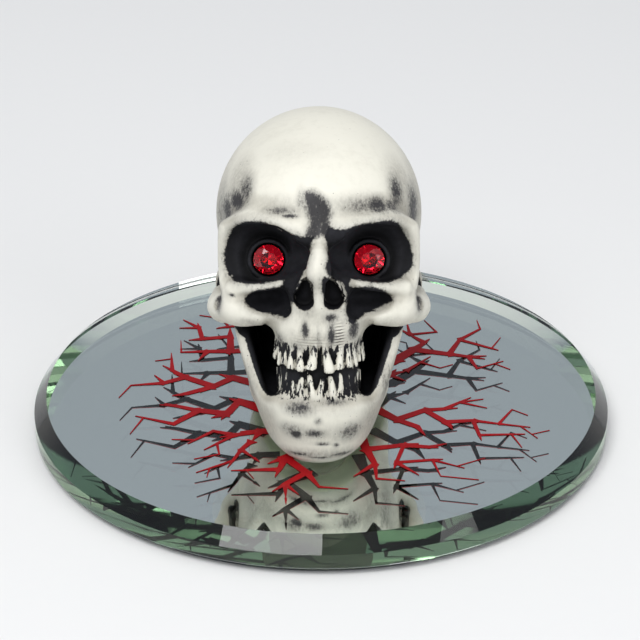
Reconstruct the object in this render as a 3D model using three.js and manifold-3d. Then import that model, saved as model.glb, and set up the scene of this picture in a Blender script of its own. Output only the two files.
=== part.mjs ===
// Halloween skull decoration: a painted resin skull with two red stones for eyes,
// glued on a round bevelled mirror whose top carries a red crack print.
// Millimetres, +Z up. The origin is the middle of the underside of the felt.
// The face looks along -Y.

import * as THREE from 'three';
import { ConvexGeometry } from 'three/addons/geometries/ConvexGeometry.js';
import { mergeVertices } from 'three/addons/utils/BufferGeometryUtils.js';
import Module from 'manifold-3d';

const { clamp, lerp, degToRad } = THREE.MathUtils;

// Mirror plate
const PLATE_DIAMETER = 95;
const GLASS_THICKNESS = 5;
const BEVEL_WIDTH = 2.1;
const BEVEL_DROP = 2.5;
const SILVER_THICKNESS = 0.1;
const PAINT_THICKNESS = 0.1;
const COATING_INSET = 0.4;
const FELT_THICKNESS = 1;
const FELT_INSET = 1.6;
const ADHESIVE_THICKNESS = 0.1;
const PLATE_SIDES = 72;

// Crack print
const INK_THICKNESS = 0.1;
const PRINT_DIAMETER = 82;
const HUB_BAND = 1.6;
const CRACK_ROOT_WIDTH = 3;
const CRACK_TIP_WIDTH = 0.3;
const CRACK_STEP = 6;
const CRACK_COUNT = 13;
const CRACK_SEED = 29;

// Glue pad under the skull
const GLUE_THICKNESS = 0.4;
const GLUE_WIDTH = 12;
const GLUE_LENGTH = 31;
const GLUE_SETBACK = -5.5;
const GLUE_MARGIN = 0.3;

// Braincase and face. The head's rise is its middle's height above the glass.
const HEAD_WIDTH = 33;
const HEAD_LENGTH = 41;
const HEAD_HEIGHT = 33.5;
const HEAD_RISE = 31;
const HEAD_SETBACK = 2;
const HEAD_SIDE_SHIFT = -0.35;
const HEAD_TILT = degToRad(14);

// Lower jaw: heights are above the glass, reaches from the plate's axis
const JAW_WIDTH = 27;
const CHIN_REACH = 26.9;
const JAW_MIDDLE = 8;
const JAW_WALL = 2.3;
const CHIN_WALL = 4.5;
const JAW_FLOOR = 7;
const SILL_HEIGHT = 9.3;
const CHIN_RISE = 1.6;
const RAMUS_HEIGHT = 19.3;
const JAW_EDGE_RADIUS = 1.5;

// Eye stones and their cups
const STONE_DIAMETER = 4.7;
const STONE_CROWN = 0.75;
const STONE_GIRDLE = 0.15;
const STONE_PAVILION = 1.7;
const STONE_UPTURN = degToRad(7);
const CUP_CLEARANCE = 0.3;
const CUP_WALL = 0.6;
const CUP_ROOT = 1.2;
const FOIL_THICKNESS = 0.08;
const FOIL_GAP = 0.05;
const BEAD_DIAMETER = 3;
const BEAD_THICKNESS = 0.4;

// Teeth
const TOOTH_WIDTH = 1.8;
const TOOTH_SIDES = 6;

// Fineness of the casting: the grid on which its form is traced, and the facets that are kept
const GRID_STEP = 1.1;
const FORM_FACETS = 7000;

// Heights of the layers
const ADHESIVE_BOTTOM = FELT_THICKNESS;
const PAINT_BOTTOM = ADHESIVE_BOTTOM + ADHESIVE_THICKNESS;
const SILVER_BOTTOM = PAINT_BOTTOM + PAINT_THICKNESS;
const GLASS_BOTTOM = SILVER_BOTTOM + SILVER_THICKNESS;
const GLASS_TOP = GLASS_BOTTOM + GLASS_THICKNESS;

const wasm = await Module();
wasm.setup();

// Solids and meshes

function solidOf(geometry) {
  const bare = geometry.clone();
  for (const name of Object.keys(bare.attributes)) {
    if (name !== 'position') bare.deleteAttribute(name);
  }
  const merged = mergeVertices(bare);
  return new wasm.Manifold(new wasm.Mesh({
    numProp: 3,
    vertProperties: Float32Array.from(merged.attributes.position.array),
    triVerts: Uint32Array.from(merged.index.array),
  }));
}

function geometryOf(solid) {
  const mesh = solid.getMesh();
  const geometry = new THREE.BufferGeometry();
  geometry.setAttribute('position', new THREE.BufferAttribute(mesh.vertProperties, 3));
  geometry.setIndex(new THREE.BufferAttribute(mesh.triVerts, 1));
  geometry.computeVertexNormals();
  return geometry;
}

function joinAll(solids) {
  return solids.reduce((sum, next) => sum.add(next));
}

function piece(name, geometry, color, roughness, metalness = 0) {
  const mesh = new THREE.Mesh(geometry, new THREE.MeshStandardMaterial({ color, roughness, metalness }));
  mesh.name = name;
  return mesh;
}

// A solid of revolution about Z from pairs of radius and height.
function turned(profile, sides) {
  const points = profile.map(([radius, height]) => new THREE.Vector2(radius, height));
  return new THREE.LatheGeometry(points, sides).rotateX(Math.PI / 2);
}

function disc(diameter, thickness, sides = PLATE_SIDES) {
  const radius = diameter / 2;
  return turned([[0, 0], [radius, 0], [radius, thickness], [0, thickness]], sides);
}

// Mirror plate: felt, adhesive film, backing paint, silvering and bevelled glass

function bevelledGlass() {
  const radius = PLATE_DIAMETER / 2;
  return turned([
    [0, 0],
    [radius, 0],
    [radius, GLASS_THICKNESS - BEVEL_DROP],
    [radius - BEVEL_WIDTH, GLASS_THICKNESS],
    [0, GLASS_THICKNESS],
  ], PLATE_SIDES);
}

function mirrorPlate() {
  const coated = PLATE_DIAMETER - 2 * COATING_INSET;
  const padded = PLATE_DIAMETER - 2 * FELT_INSET;
  const glass = piece('mirror_glass', bevelledGlass(), 0x9aa6a8, 0.03, 0.2);
  glass.position.z = GLASS_BOTTOM;
  const silver = piece('mirror_silvering', disc(coated, SILVER_THICKNESS), 0xe6e9ea, 0.05, 1);
  silver.position.z = SILVER_BOTTOM;
  const paint = piece('mirror_backing_paint', disc(coated, PAINT_THICKNESS), 0x4a4f52, 0.6);
  paint.position.z = PAINT_BOTTOM;
  const adhesive = piece('felt_adhesive', disc(padded, ADHESIVE_THICKNESS), 0xd8d2b8, 0.5);
  adhesive.position.z = ADHESIVE_BOTTOM;
  const felt = piece('felt_base', disc(padded, FELT_THICKNESS), 0x17181b, 1);

  const plate = new THREE.Group();
  plate.add(glass, silver, paint, adhesive, felt);
  return plate;
}

// Crack print: cracks walk outwards from a ring round the glue, turn left and right, fork and
// end in points. A seeded series of numbers makes the same pattern each time.

const HUB_SIDES = 28;
const TRUNK_TURNS = [0.2, 0.75];
const FORK_TURNS = [0.5, 1];
const FORK_CHANCE = 0.62;
const FORK_STEPS = 2;
const FORK_WIDTH_SHARE = 0.6;
const STEP_SHARES = [0.65, 1.35];
const TRAVEL_SHARES = [0.8, 1.15];
const ROOT_SHARES = [0.6, 1];
const LEAST_STEPS = 3;
const STRAIGHTENING = 0.3;

function seededRandom(seed) {
  let state = seed;
  return () => {
    state = (state * 16807) % 2147483647;
    return state / 2147483647;
  };
}

// A point on the oval round the glue pad, moved outwards.
function hubPoint(angle, outwards) {
  const x = (GLUE_WIDTH / 2 + GLUE_MARGIN + outwards) * Math.cos(angle);
  const y = (GLUE_LENGTH / 2 + GLUE_MARGIN + outwards) * Math.sin(angle);
  return [x + HEAD_SIDE_SHIFT, y + GLUE_SETBACK];
}

function crackPaths() {
  const random = seededRandom(CRACK_SEED);
  const between = ([low, high]) => lerp(low, high, random());
  const reach = PRINT_DIAMETER / 2;
  const paths = [];

  function walk(start, heading, width, steps, forks) {
    const path = { points: [start], widths: [width] };
    let [x, y] = start;
    let side = Math.sign(random() - 0.5);
    for (let step = 1; step <= steps; step += 1) {
      const length = CRACK_STEP * between(STEP_SHARES);
      const direction = heading + side * between(TRUNK_TURNS);
      x += length * Math.cos(direction);
      y += length * Math.sin(direction);
      if (Math.hypot(x, y) > reach) break;
      const here = lerp(width, CRACK_TIP_WIDTH, step / steps);
      path.points.push([x, y]);
      path.widths.push(here);
      if (forks > 0 && step < steps && random() < FORK_CHANCE) {
        walk([x, y], heading - side * between(FORK_TURNS), here * FORK_WIDTH_SHARE, FORK_STEPS, forks - 1);
      }
      side = -side;
      const outwards = Math.atan2(y, x) - heading;
      heading += Math.atan2(Math.sin(outwards), Math.cos(outwards)) * STRAIGHTENING;
    }
    path.widths[path.widths.length - 1] = CRACK_TIP_WIDTH;
    if (path.points.length > 1) paths.push(path);
  }

  for (let index = 0; index < CRACK_COUNT; index += 1) {
    const heading = (index + random() / 2) * 2 * Math.PI / CRACK_COUNT;
    const around = Math.atan2(GLUE_WIDTH * Math.sin(heading), GLUE_LENGTH * Math.cos(heading));
    const start = hubPoint(around, HUB_BAND / 2);
    const travel = (reach - Math.hypot(...start)) * between(TRAVEL_SHARES);
    const steps = Math.max(LEAST_STEPS, Math.round(travel / CRACK_STEP));
    walk(start, heading, CRACK_ROOT_WIDTH * between(ROOT_SHARES), steps, 1);
  }
  return paths;
}

// The outline of one crack: out along one side of its path and back along the other.
function crackOutline({ points, widths }) {
  const left = [];
  const right = [];
  points.forEach(([x, y], index) => {
    const [beforeX, beforeY] = points[Math.max(index - 1, 0)];
    const [afterX, afterY] = points[Math.min(index + 1, points.length - 1)];
    const across = new THREE.Vector2(beforeY - afterY, afterX - beforeX).setLength(widths[index] / 2);
    left.push(new THREE.Vector2(x, y).add(across));
    right.push(new THREE.Vector2(x, y).sub(across));
  });
  return new THREE.Shape([...right, ...left.reverse()]);
}

function inkSolid(shape) {
  return solidOf(new THREE.ExtrudeGeometry(shape, { depth: INK_THICKNESS, bevelEnabled: false }));
}

function hubRing() {
  const oval = (outwards) => Array.from({ length: HUB_SIDES }, (_, index) =>
    new THREE.Vector2(...hubPoint(index * 2 * Math.PI / HUB_SIDES, outwards)));
  const shape = new THREE.Shape(oval(HUB_BAND));
  shape.holes.push(new THREE.Path(oval(0)));
  return inkSolid(shape);
}

function crackPrint() {
  const cracks = crackPaths().map((path) => inkSolid(crackOutline(path)));
  const film = geometryOf(joinAll([hubRing(), ...cracks]));
  const under = piece('crack_underprint_black', film, 0x141210, 0.5);
  under.position.z = GLASS_TOP;
  const over = piece('crack_print_red', film.clone(), 0xa6141a, 0.35);
  over.position.z = GLASS_TOP + INK_THICKNESS;

  const print = new THREE.Group();
  print.add(under, over);
  return print;
}

// The casting's form is a field that is negative inside: round forms that melt into one another
// or are hollowed out. Places and radii are shares of half the head's width, length and height,
// and the thicknesses of ropes and blends are shares of half its width.

const HALF = new THREE.Vector3(HEAD_WIDTH, HEAD_LENGTH, HEAD_HEIGHT).divideScalar(2);
const ROPE_SPANS = 4;

function placed(shares) {
  return new THREE.Vector3(...shares).multiply(HALF);
}

// A ball whose power squares it off and whose roll turns it about the depth axis.
function ball({ centreShares, radiusShares, power = 2, roll = 0 }) {
  const centre = placed(centreShares);
  const radii = placed(radiusShares);
  const cos = Math.cos(roll);
  const sin = Math.sin(roll);
  return (x, y, z) => {
    const dx = x - centre.x;
    const dz = z - centre.z;
    const a = Math.abs((dx * cos - dz * sin) / radii.x) + Number.EPSILON;
    const b = Math.abs((y - centre.y) / radii.y) + Number.EPSILON;
    const c = Math.abs((dx * sin + dz * cos) / radii.z) + Number.EPSILON;
    const size = (a ** power + b ** power + c ** power) ** (1 / power);
    const slope = Math.hypot(a ** (power - 1) / radii.x, b ** (power - 1) / radii.y, c ** (power - 1) / radii.z);
    return (size - 1) * size ** (power - 1) / slope;
  };
}

// Tapering round rods end to end along a smooth curve through the points.
function rope({ pointShares, radiusShares }) {
  const curve = new THREE.CatmullRomCurve3(pointShares.map(placed), false, 'catmullrom');
  const spans = pointShares.length - 1;
  const stations = Array.from({ length: spans * ROPE_SPANS + 1 }, (_, index) => {
    const along = index / ROPE_SPANS;
    const span = Math.min(Math.floor(along), spans - 1);
    const radius = lerp(radiusShares[span], radiusShares[span + 1], along - span) * HALF.x;
    return { ...curve.getPoint(along / spans), radius };
  });
  return (x, y, z) => {
    let nearest = Infinity;
    for (let index = 1; index < stations.length; index += 1) {
      const a = stations[index - 1];
      const b = stations[index];
      const [bx, by, bz] = [b.x - a.x, b.y - a.y, b.z - a.z];
      const [px, py, pz] = [x - a.x, y - a.y, z - a.z];
      const t = clamp((px * bx + py * by + pz * bz) / (bx * bx + by * by + bz * bz), 0, 1);
      const gap = Math.hypot(px - t * bx, py - t * by, pz - t * bz) - lerp(a.radius, b.radius, t);
      nearest = Math.min(nearest, gap);
    }
    return nearest;
  };
}

function melt(a, b, blendShare) {
  const blend = blendShare * HALF.x;
  const near = Math.max(blend - Math.abs(a - b), 0) / blend;
  return Math.min(a, b) - near * near * blend / 4;
}

const hollow = (field, tool, blendShare) => -melt(-field, tool, blendShare);
const within = (field, limit, blendShare) => -melt(-field, -limit, blendShare);
const both = (first, second, blendShare) => (x, y, z) => melt(first(x, y, z), second(x, y, z), blendShare);

const eyeSocket = both(
  ball({ centreShares: [0.555, -1.005, -0.167], radiusShares: [0.373, 0.322, 0.293], power: 2.8, roll: degToRad(10) }),
  ball({ centreShares: [0.267, -1.044, -0.131], radiusShares: [0.164, 0.224, 0.173], power: 2.4, roll: degToRad(14) }),
  0.09,
);

const nose = both(
  rope({
    pointShares: [[0, -1.005, 0.072], [0, -1.068, -0.072], [0, -1.132, -0.251], [0, -1.117, -0.334]],
    radiusShares: [0.061, 0.073, 0.106, 0.109] }),
  ball({ centreShares: [0, -0.956, -0.531], radiusShares: [0.273, 0.195, 0.233], power: 2.1 }),
  0.097,
);

const braincase = ball({ centreShares: [0, 0.117, -0.024], radiusShares: [0.982, 0.878, 1.009], power: 2.08 });
const neck = ball({ centreShares: [0, 0.195, 0.537], radiusShares: [0.715, 0.615, 0.776], power: 2.4 });
const chin = ball({ centreShares: [0, -1.054, 0.478], radiusShares: [0.4, 0.21, 0.293], power: 2.2 });
const NECK_BLEND_SHARE = 0.242;
const CHIN_BLEND_SHARE = 0.133;

// The face's forms in the order in which they are joined or hollowed out. Paired ones lie on both sides.
const faceForms = [
  { name: 'front of the braincase', blendShare: 0.303,
    field: ball({ centreShares: [0, -0.254, 0.048], radiusShares: [0.891, 0.751, 0.812], power: 2.12 }) },
  { name: 'forehead', blendShare: 0.182,
    field: ball({ centreShares: [0, -0.361, 0.203], radiusShares: [0.812, 0.644, 0.537], power: 2.4 }) },
  { name: 'middle of the face', blendShare: 0.182,
    field: ball({ centreShares: [0, -0.463, -0.394], radiusShares: [0.842, 0.546, 0.555], power: 2.8 }) },
  { name: 'brow and outer rim of the eye', paired: true, blendShare: 0.133,
    field: rope({
      pointShares: [[0.097, -1.01, 0.03], [0.279, -1.024, 0.096], [0.521, -0.956, 0.161], [0.727, -0.834, 0.173],
        [0.861, -0.727, 0.048], [0.903, -0.659, -0.215], [0.873, -0.663, -0.49], [0.776, -0.727, -0.716]],
      radiusShares: [0.061, 0.07, 0.073, 0.079, 0.073, 0.061, 0.085, 0.139] }) },
  { name: 'cheekbone and its arch', paired: true, blendShare: 0.109,
    field: rope({
      pointShares: [[0.57, -0.839, -0.758], [0.727, -0.732, -0.77], [0.861, -0.566, -0.794],
        [0.939, -0.351, -0.83], [0.945, -0.156, -0.776], [0.909, 0.029, -0.681]],
      radiusShares: [0.109, 0.139, 0.139, 0.142, 0.097, 0.097] }) },
  { name: 'root of the cheekbone', blendShare: 0.091,
    field: ball({ centreShares: [0, -0.322, -0.74], radiusShares: [0.812, 0.42, 0.275], power: 2.6 }) },
  { name: 'upper jaw', blendShare: 0.109,
    field: ball({ centreShares: [0, -0.693, -0.8], radiusShares: [0.442, 0.4, 0.37], power: 2.5 }) },
  { name: 'gums behind the teeth', blendShare: 0.091,
    field: ball({ centreShares: [0, -0.683, -1.194], radiusShares: [0.376, 0.356, 0.537], power: 3 }) },
  { name: 'eye socket', paired: true, hollowed: true, blendShare: 0.061, field: eyeSocket },
  { name: 'hollow under the eye', paired: true, hollowed: true, blendShare: 0.048,
    field: ball({ centreShares: [0.491, -0.956, -0.627], radiusShares: [0.23, 0.215, 0.125], power: 2.3,
      roll: degToRad(-4) }) },
  { name: 'hollow beside the nose', paired: true, hollowed: true, blendShare: 0.048,
    field: ball({ centreShares: [0.333, -0.995, -0.669], radiusShares: [0.079, 0.117, 0.107] }) },
  { name: 'lower rim of the eye', paired: true, blendShare: 0.061,
    field: rope({
      pointShares: [[0.8, -0.741, -0.513], [0.642, -0.824, -0.496], [0.485, -0.883, -0.484],
        [0.333, -0.937, -0.418]],
      radiusShares: [0.091, 0.058, 0.045, 0.024] }) },
  { name: 'nose', blendShare: 0.048, field: nose },
  { name: 'furrow between the brows', hollowed: true, blendShare: 0.061,
    field: ball({ centreShares: [0, -1.132, 0.251], radiusShares: [0.085, 0.127, 0.275] }) },
  { name: 'crease over the brow', paired: true, hollowed: true, blendShare: 0.121,
    field: rope({
      pointShares: [[0.303, -1.122, 0.293], [0.521, -1.068, 0.34], [0.727, -0.941, 0.346],
        [0.903, -0.78, 0.233]],
      radiusShares: [0.024, 0.048, 0.061, 0.073] }) },
  { name: 'temple', paired: true, hollowed: true, blendShare: 0.097,
    field: ball({ centreShares: [1.109, -0.42, -0.09], radiusShares: [0.17, 0.19, 0.382] }) },
];

const sideForms = [
  { name: 'bone behind the ear', paired: true, blendShare: 0.109,
    field: rope({
      pointShares: [[0.812, 0.098, -0.657], [0.739, 0.029, -0.985]],
      radiusShares: [0.17, 0.103] }) },
  { name: 'ear opening', paired: true, hollowed: true, blendShare: 0.036,
    field: ball({ centreShares: [1.006, -0.078, -0.669], radiusShares: [0.097, 0.059, 0.078] }) },
];

// Lower jaw: a wall that follows a squared-off oval and narrows to its foot, low in front and
// rising to the ramus behind, with a floor behind the chin.
const JAW_POWER = 2.3;
const JAW_FOOT_SHARE = 0.6;
const JAW_FOOT_POWER = 0.65;
const JAW_FLARE_SHARE = 0.86;
const JAW_STRETCH_SHARE = 0.55;
const FLARE_REACH_SHARES = [0.56, 0.07];
const RISE_REACH_SHARES = [0.78, 0.46];
const THICKENING_REACH_SHARES = [0.71, 0.93];
const RIM_SLOPE = 0.75;
const RAMUS_LEAN = 0.12;
const RAMUS_REACH_SHARE = -0.02;
const JAW_WALL_BLEND_SHARE = 0.048;
const JAW_RIM_BLEND_SHARE = 0.097;
const RAMUS_BLEND_SHARE = 0.121;
const JAW_BLEND_SHARE = 0.061;

const eased = (t) => t * t * (3 - 2 * t);
const towards = (y, [fromShare, toShare]) => clamp((y / -CHIN_REACH - fromShare) / (toShare - fromShare), 0, 1);

function jawSide(x, y, z) {
  const foot = lerp(JAW_FOOT_SHARE, 1, clamp(z / (RAMUS_HEIGHT - JAW_WALL), 0, 1) ** JAW_FOOT_POWER);
  const flare = Math.max(JAW_FLARE_SHARE - foot, 0) * eased(towards(y, FLARE_REACH_SHARES));
  const halfWidth = JAW_WIDTH / 2;
  const halfLength = CHIN_REACH - JAW_MIDDLE;
  const ahead = y + JAW_MIDDLE;
  const a = Math.abs(x) / (foot + flare) / halfWidth + Number.EPSILON;
  const b = Math.abs(Math.min(ahead, ahead * JAW_STRETCH_SHARE)) / halfLength + Number.EPSILON;
  const size = (a ** JAW_POWER + b ** JAW_POWER) ** (1 / JAW_POWER);
  const slope = Math.hypot(a ** (JAW_POWER - 1) / halfWidth, b ** (JAW_POWER - 1) / halfLength);
  return (size - 1) * size ** (JAW_POWER - 1) / slope;
}

function jaw(x, y, z) {
  const side = jawSide(x, y, z);
  const sideIn = side + JAW_EDGE_RADIUS;
  const footIn = JAW_EDGE_RADIUS - z;
  const outer = Math.min(Math.max(sideIn, footIn), 0)
    + Math.hypot(Math.max(sideIn, 0), Math.max(footIn, 0)) - JAW_EDGE_RADIUS;
  const wall = lerp(JAW_WALL, CHIN_WALL, towards(y, THICKENING_REACH_SHARES));
  const filled = Math.min(-side - wall, z - JAW_FLOOR);
  const rim = lerp(SILL_HEIGHT, RAMUS_HEIGHT, eased(towards(y, RISE_REACH_SHARES)))
    + CHIN_RISE * towards(y, THICKENING_REACH_SHARES);
  let field = within(outer, filled, JAW_WALL_BLEND_SHARE);
  field = within(field, (z - rim) * RIM_SLOPE, JAW_RIM_BLEND_SHARE);
  return within(field, y + RAMUS_REACH_SHARE * CHIN_REACH + RAMUS_LEAN * z, RAMUS_BLEND_SHARE);
}

const tiltCos = Math.cos(HEAD_TILT);
const tiltSin = Math.sin(HEAD_TILT);

function skullField(x, y, z) {
  const back = y - HEAD_SETBACK;
  const up = z - HEAD_RISE;
  const headY = back * tiltCos - up * tiltSin;
  const headZ = back * tiltSin + up * tiltCos;
  const shaped = (start, forms) => forms.reduce((field, form) => {
    const tool = form.field(form.paired ? Math.abs(x) : x, headY, headZ);
    return form.hollowed ? hollow(field, tool, form.blendShare) : melt(field, tool, form.blendShare);
  }, start);

  let field = melt(braincase(x, headY, headZ), neck(x, y, z), NECK_BLEND_SHARE);
  field = shaped(field, faceForms);
  field = melt(field, jaw(x, y, z), JAW_BLEND_SHARE);
  field = melt(field, chin(x, y, z), CHIN_BLEND_SHARE);
  return Math.max(shaped(field, sideForms), -z);
}

// Tracing the field: one vertex in each grid cell that the surface crosses, and one quad across
// each grid edge that it crosses.

const EDGE_ENDS = [[0, 1], [2, 3], [4, 5], [6, 7], [0, 2], [1, 3], [4, 6], [5, 7], [0, 4], [1, 5], [2, 6], [3, 7]];
const AXIS_PAIRS = [[0, 1], [1, 2], [2, 0]];
const GRID_MARGIN = 2;
const SETTLE_ROUNDS = 2;
const NUDGE_SHARE = 0.05;
const LEAST_SLOPE = 0.5;
const FLIP_SHARE = 0.01;

// Where the corners of a grid face are inside and outside by turns, two sheets would meet along
// one edge. The corner nearest the surface changes sides until no face is left like that.
function untangle(values, counts, strides) {
  let tangled = true;
  while (tangled) {
    tangled = false;
    for (const [u, v] of AXIS_PAIRS) {
      const ring = [0, strides[u], strides[u] + strides[v], strides[v]];
      const room = counts.map((count, axis) => count - (axis === u || axis === v ? 1 : 0));
      for (let i = 0; i < room[0]; i += 1) {
        for (let j = 0; j < room[1]; j += 1) {
          for (let k = 0; k < room[2]; k += 1) {
            const base = i * strides[0] + j * strides[1] + k * strides[2];
            const [a, b, c, d] = ring.map((offset) => values[base + offset] < 0);
            if (a !== c || b !== d || a === b) continue;
            const places = ring.map((offset) => base + offset);
            const nearest = places.reduce((x, y) => (Math.abs(values[y]) < Math.abs(values[x]) ? y : x));
            values[nearest] = -Math.sign(values[nearest]) * GRID_STEP * FLIP_SHARE;
            tangled = true;
          }
        }
      }
    }
  }
}

// Moves a point down the field's slope onto the surface, by no more than half a grid step.
function settled(field, start) {
  const nudge = GRID_STEP * NUDGE_SHARE;
  const point = start.clone();
  for (let round = 0; round < SETTLE_ROUNDS; round += 1) {
    const { x, y, z } = point;
    const slope = new THREE.Vector3(
      field(x + nudge, y, z) - field(x - nudge, y, z),
      field(x, y + nudge, z) - field(x, y - nudge, z),
      field(x, y, z + nudge) - field(x, y, z - nudge),
    ).divideScalar(2 * nudge);
    point.addScaledVector(slope, -field(x, y, z) / Math.max(slope.lengthSq(), LEAST_SLOPE ** 2));
  }
  return point.sub(start).clampLength(0, GRID_STEP / 2).add(start);
}

function traced(field, box) {
  const low = box.min.clone().subScalar(GRID_MARGIN * GRID_STEP);
  const size = box.max.clone().sub(low).addScalar(GRID_MARGIN * GRID_STEP);
  const counts = size.toArray().map((length) => Math.ceil(length / GRID_STEP) + 1);
  const strides = [counts[1] * counts[2], counts[2], 1];
  const values = new Float64Array(counts[0] * strides[0]);
  const corner = (i, j, k) => new THREE.Vector3(i, j, k).multiplyScalar(GRID_STEP).add(low);
  for (let i = 0; i < counts[0]; i += 1) {
    for (let j = 0; j < counts[1]; j += 1) {
      for (let k = 0; k < counts[2]; k += 1) {
        const { x, y, z } = corner(i, j, k);
        values[i * strides[0] + j * strides[1] + k] = field(x, y, z);
      }
    }
  }
  untangle(values, counts, strides);

  const points = [];
  const vertices = new Map();
  function vertexIn(i, j, k) {
    const base = i * strides[0] + j * strides[1] + k;
    if (vertices.has(base)) return vertices.get(base);
    const crossings = [];
    for (const ends of EDGE_ENDS) {
      const [a, b] = ends.map((bits) => {
        const [di, dj, dk] = [bits & 1, (bits >> 1) & 1, bits >> 2];
        return { point: corner(i + di, j + dj, k + dk), value: values[base + di * strides[0] + dj * strides[1] + dk] };
      });
      if (a.value < 0 !== b.value < 0) crossings.push(a.point.lerp(b.point, a.value / (a.value - b.value)));
    }
    const middle = crossings.reduce((sum, point) => sum.add(point), new THREE.Vector3());
    points.push(settled(field, middle.divideScalar(crossings.length)));
    vertices.set(base, points.length - 1);
    return points.length - 1;
  }

  const faces = [];
  for (let i = 1; i < counts[0] - 1; i += 1) {
    for (let j = 1; j < counts[1] - 1; j += 1) {
      for (let k = 1; k < counts[2] - 1; k += 1) {
        const base = i * strides[0] + j * strides[1] + k;
        const inside = values[base] < 0;
        strides.forEach((stride, axis) => {
          if (inside === values[base + stride] < 0) return;
          const [u, v] = AXIS_PAIRS[(axis + 1) % 3];
          const back = (...axes) => vertexIn(...[i, j, k].map((at, own) => at - (axes.includes(own) ? 1 : 0)));
          const [a, b, c, d] = [back(u, v), back(v), back(), back(u)];
          faces.push(...(inside ? [[a, b, c], [a, c, d]] : [[a, c, b], [a, d, c]]));
        });
      }
    }
  }
  return { points, faces };
}

// Thinning: facets go where the surface is calm. The edge whose loss moves the surface least
// goes first, and an edge stays where its loss would fold a facet over or pinch the surface.

const PASS_SHARE = 0.12;
const SHORTNESS = 0.0005;
const LEAST_FOLD = 0.3;

function facePlane(points, [a, b, c]) {
  const plane = new THREE.Plane().setFromCoplanarPoints(points[a], points[b], points[c]);
  return { plane, area: new THREE.Triangle(points[a], points[b], points[c]).getArea() };
}

function misfit(planes, point) {
  return planes.reduce((sum, { plane, area }) => sum + area * plane.distanceToPoint(point) ** 2, 0);
}

function thinned({ points, faces }, facetCount) {
  const planes = points.map(() => []);
  for (const face of faces) {
    const entry = facePlane(points, face);
    for (const vertex of face) planes[vertex].push(entry);
  }
  let live = faces;
  while (live.length > facetCount) {
    const around = points.map(() => []);
    for (const face of live) for (const vertex of face) around[vertex].push(face);
    const edges = [];
    for (const [a, b, c] of live) {
      for (const [from, to] of [[a, b], [b, c], [c, a]]) {
        if (from > to) continue;
        const all = [...planes[from], ...planes[to]];
        const middle = points[from].clone().add(points[to]).divideScalar(2);
        const [best] = [middle, points[from], points[to]]
          .map((point) => ({ point, cost: misfit(all, point) }))
          .sort((x, y) => x.cost - y.cost);
        const length = points[from].distanceTo(points[to]);
        edges.push({ from, to, point: best.point.clone(), cost: best.cost + SHORTNESS * length ** 4 });
      }
    }
    edges.sort((x, y) => x.cost - y.cost);

    const dropped = new Set();
    const touched = new Set();
    const allowed = Math.min((live.length - facetCount) / 2, edges.length * PASS_SHARE);
    for (const { from, to, point } of edges) {
      if (dropped.size / 2 >= allowed) break;
      const ring = (vertex) => new Set(around[vertex].flat().filter((other) => other !== vertex));
      const [ringFrom, ringTo] = [ring(from), ring(to)];
      const zone = [...ringFrom, ...ringTo];
      if (zone.some((vertex) => touched.has(vertex))) continue;
      if ([...ringFrom].filter((vertex) => ringTo.has(vertex)).length !== 2) continue;
      const kept = [...around[from], ...around[to]].filter((face) => !(face.includes(from) && face.includes(to)));
      const folds = kept.some((face) => {
        const before = facePlane(points, face).plane.normal;
        const corners = face.map((vertex) => (vertex === from || vertex === to ? point : points[vertex]));
        return facePlane(corners, [0, 1, 2]).plane.normal.dot(before) < LEAST_FOLD;
      });
      if (folds) continue;
      for (const face of around[from]) if (face.includes(to)) dropped.add(face);
      for (const face of around[to]) {
        if (!dropped.has(face)) face[face.indexOf(to)] = from;
      }
      points[from].copy(point);
      planes[from] = [...planes[from], ...planes[to]];
      for (const vertex of zone) touched.add(vertex);
    }
    if (dropped.size === 0) break;
    live = live.filter((face) => !dropped.has(face));
  }
  return { points, faces: live };
}

function meshGeometry({ points, faces }) {
  const geometry = new THREE.BufferGeometry().setFromPoints(faces.flat().map((vertex) => points[vertex]));
  return mergeVertices(geometry);
}

// The frame of the head, carried into the frame that stands on the glass.
const headFrame = new THREE.Matrix4()
  .makeTranslation(0, HEAD_SETBACK, HEAD_RISE)
  .multiply(new THREE.Matrix4().makeRotationX(-HEAD_TILT));

// Teeth: pegs on the arch of the gums, at angles in degrees and with shares of the tooth width.
const ARCH_RADIUS_SHARES = [0.418, 0.415];
const ARCH_FRONT_SHARE = -1.088;
const UPPER_ROOT_SHARE = -0.991;
const BITE_SHARE = -1.248;
const LOWER_ROOT_SHARE = -1.504;
const UPPER_ANGLES = [-71, -47, -26, -8, 12, 33, 54, 75];
const UPPER_WIDTH_SHARES = [0.69, 0.89, 0.94, 0.94, 1, 0.94, 0.83, 0.67];
const LOWER_ANGLES = [-72, -52, -33, -15, 3, 20, 38, 56, 74];
const LOWER_WIDTH_SHARES = [0.56, 0.61, 0.69, 0.73, 0.69, 0.73, 0.69, 0.61, 0.56];
const UPPER_NARROWING_SHARE = 0.62;
const LOWER_NARROWING_SHARE = 0.76;
const UPPER_INSET_SHARES = [0.25, 0.08];
const LOWER_INSET_SHARES = [0.42, 0.31];
const PEG_ROUNDING_SHARE = 0.7;

function archPoint(angle, inset, heightShare) {
  const [across, deep] = [ARCH_RADIUS_SHARES[0] * HALF.x, ARCH_RADIUS_SHARES[1] * HALF.y];
  const front = ARCH_FRONT_SHARE * HALF.y;
  return new THREE.Vector3(
    Math.sin(angle) * (across - inset),
    front + deep - Math.cos(angle) * (deep - inset),
    heightShare * HALF.z,
  );
}

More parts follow.
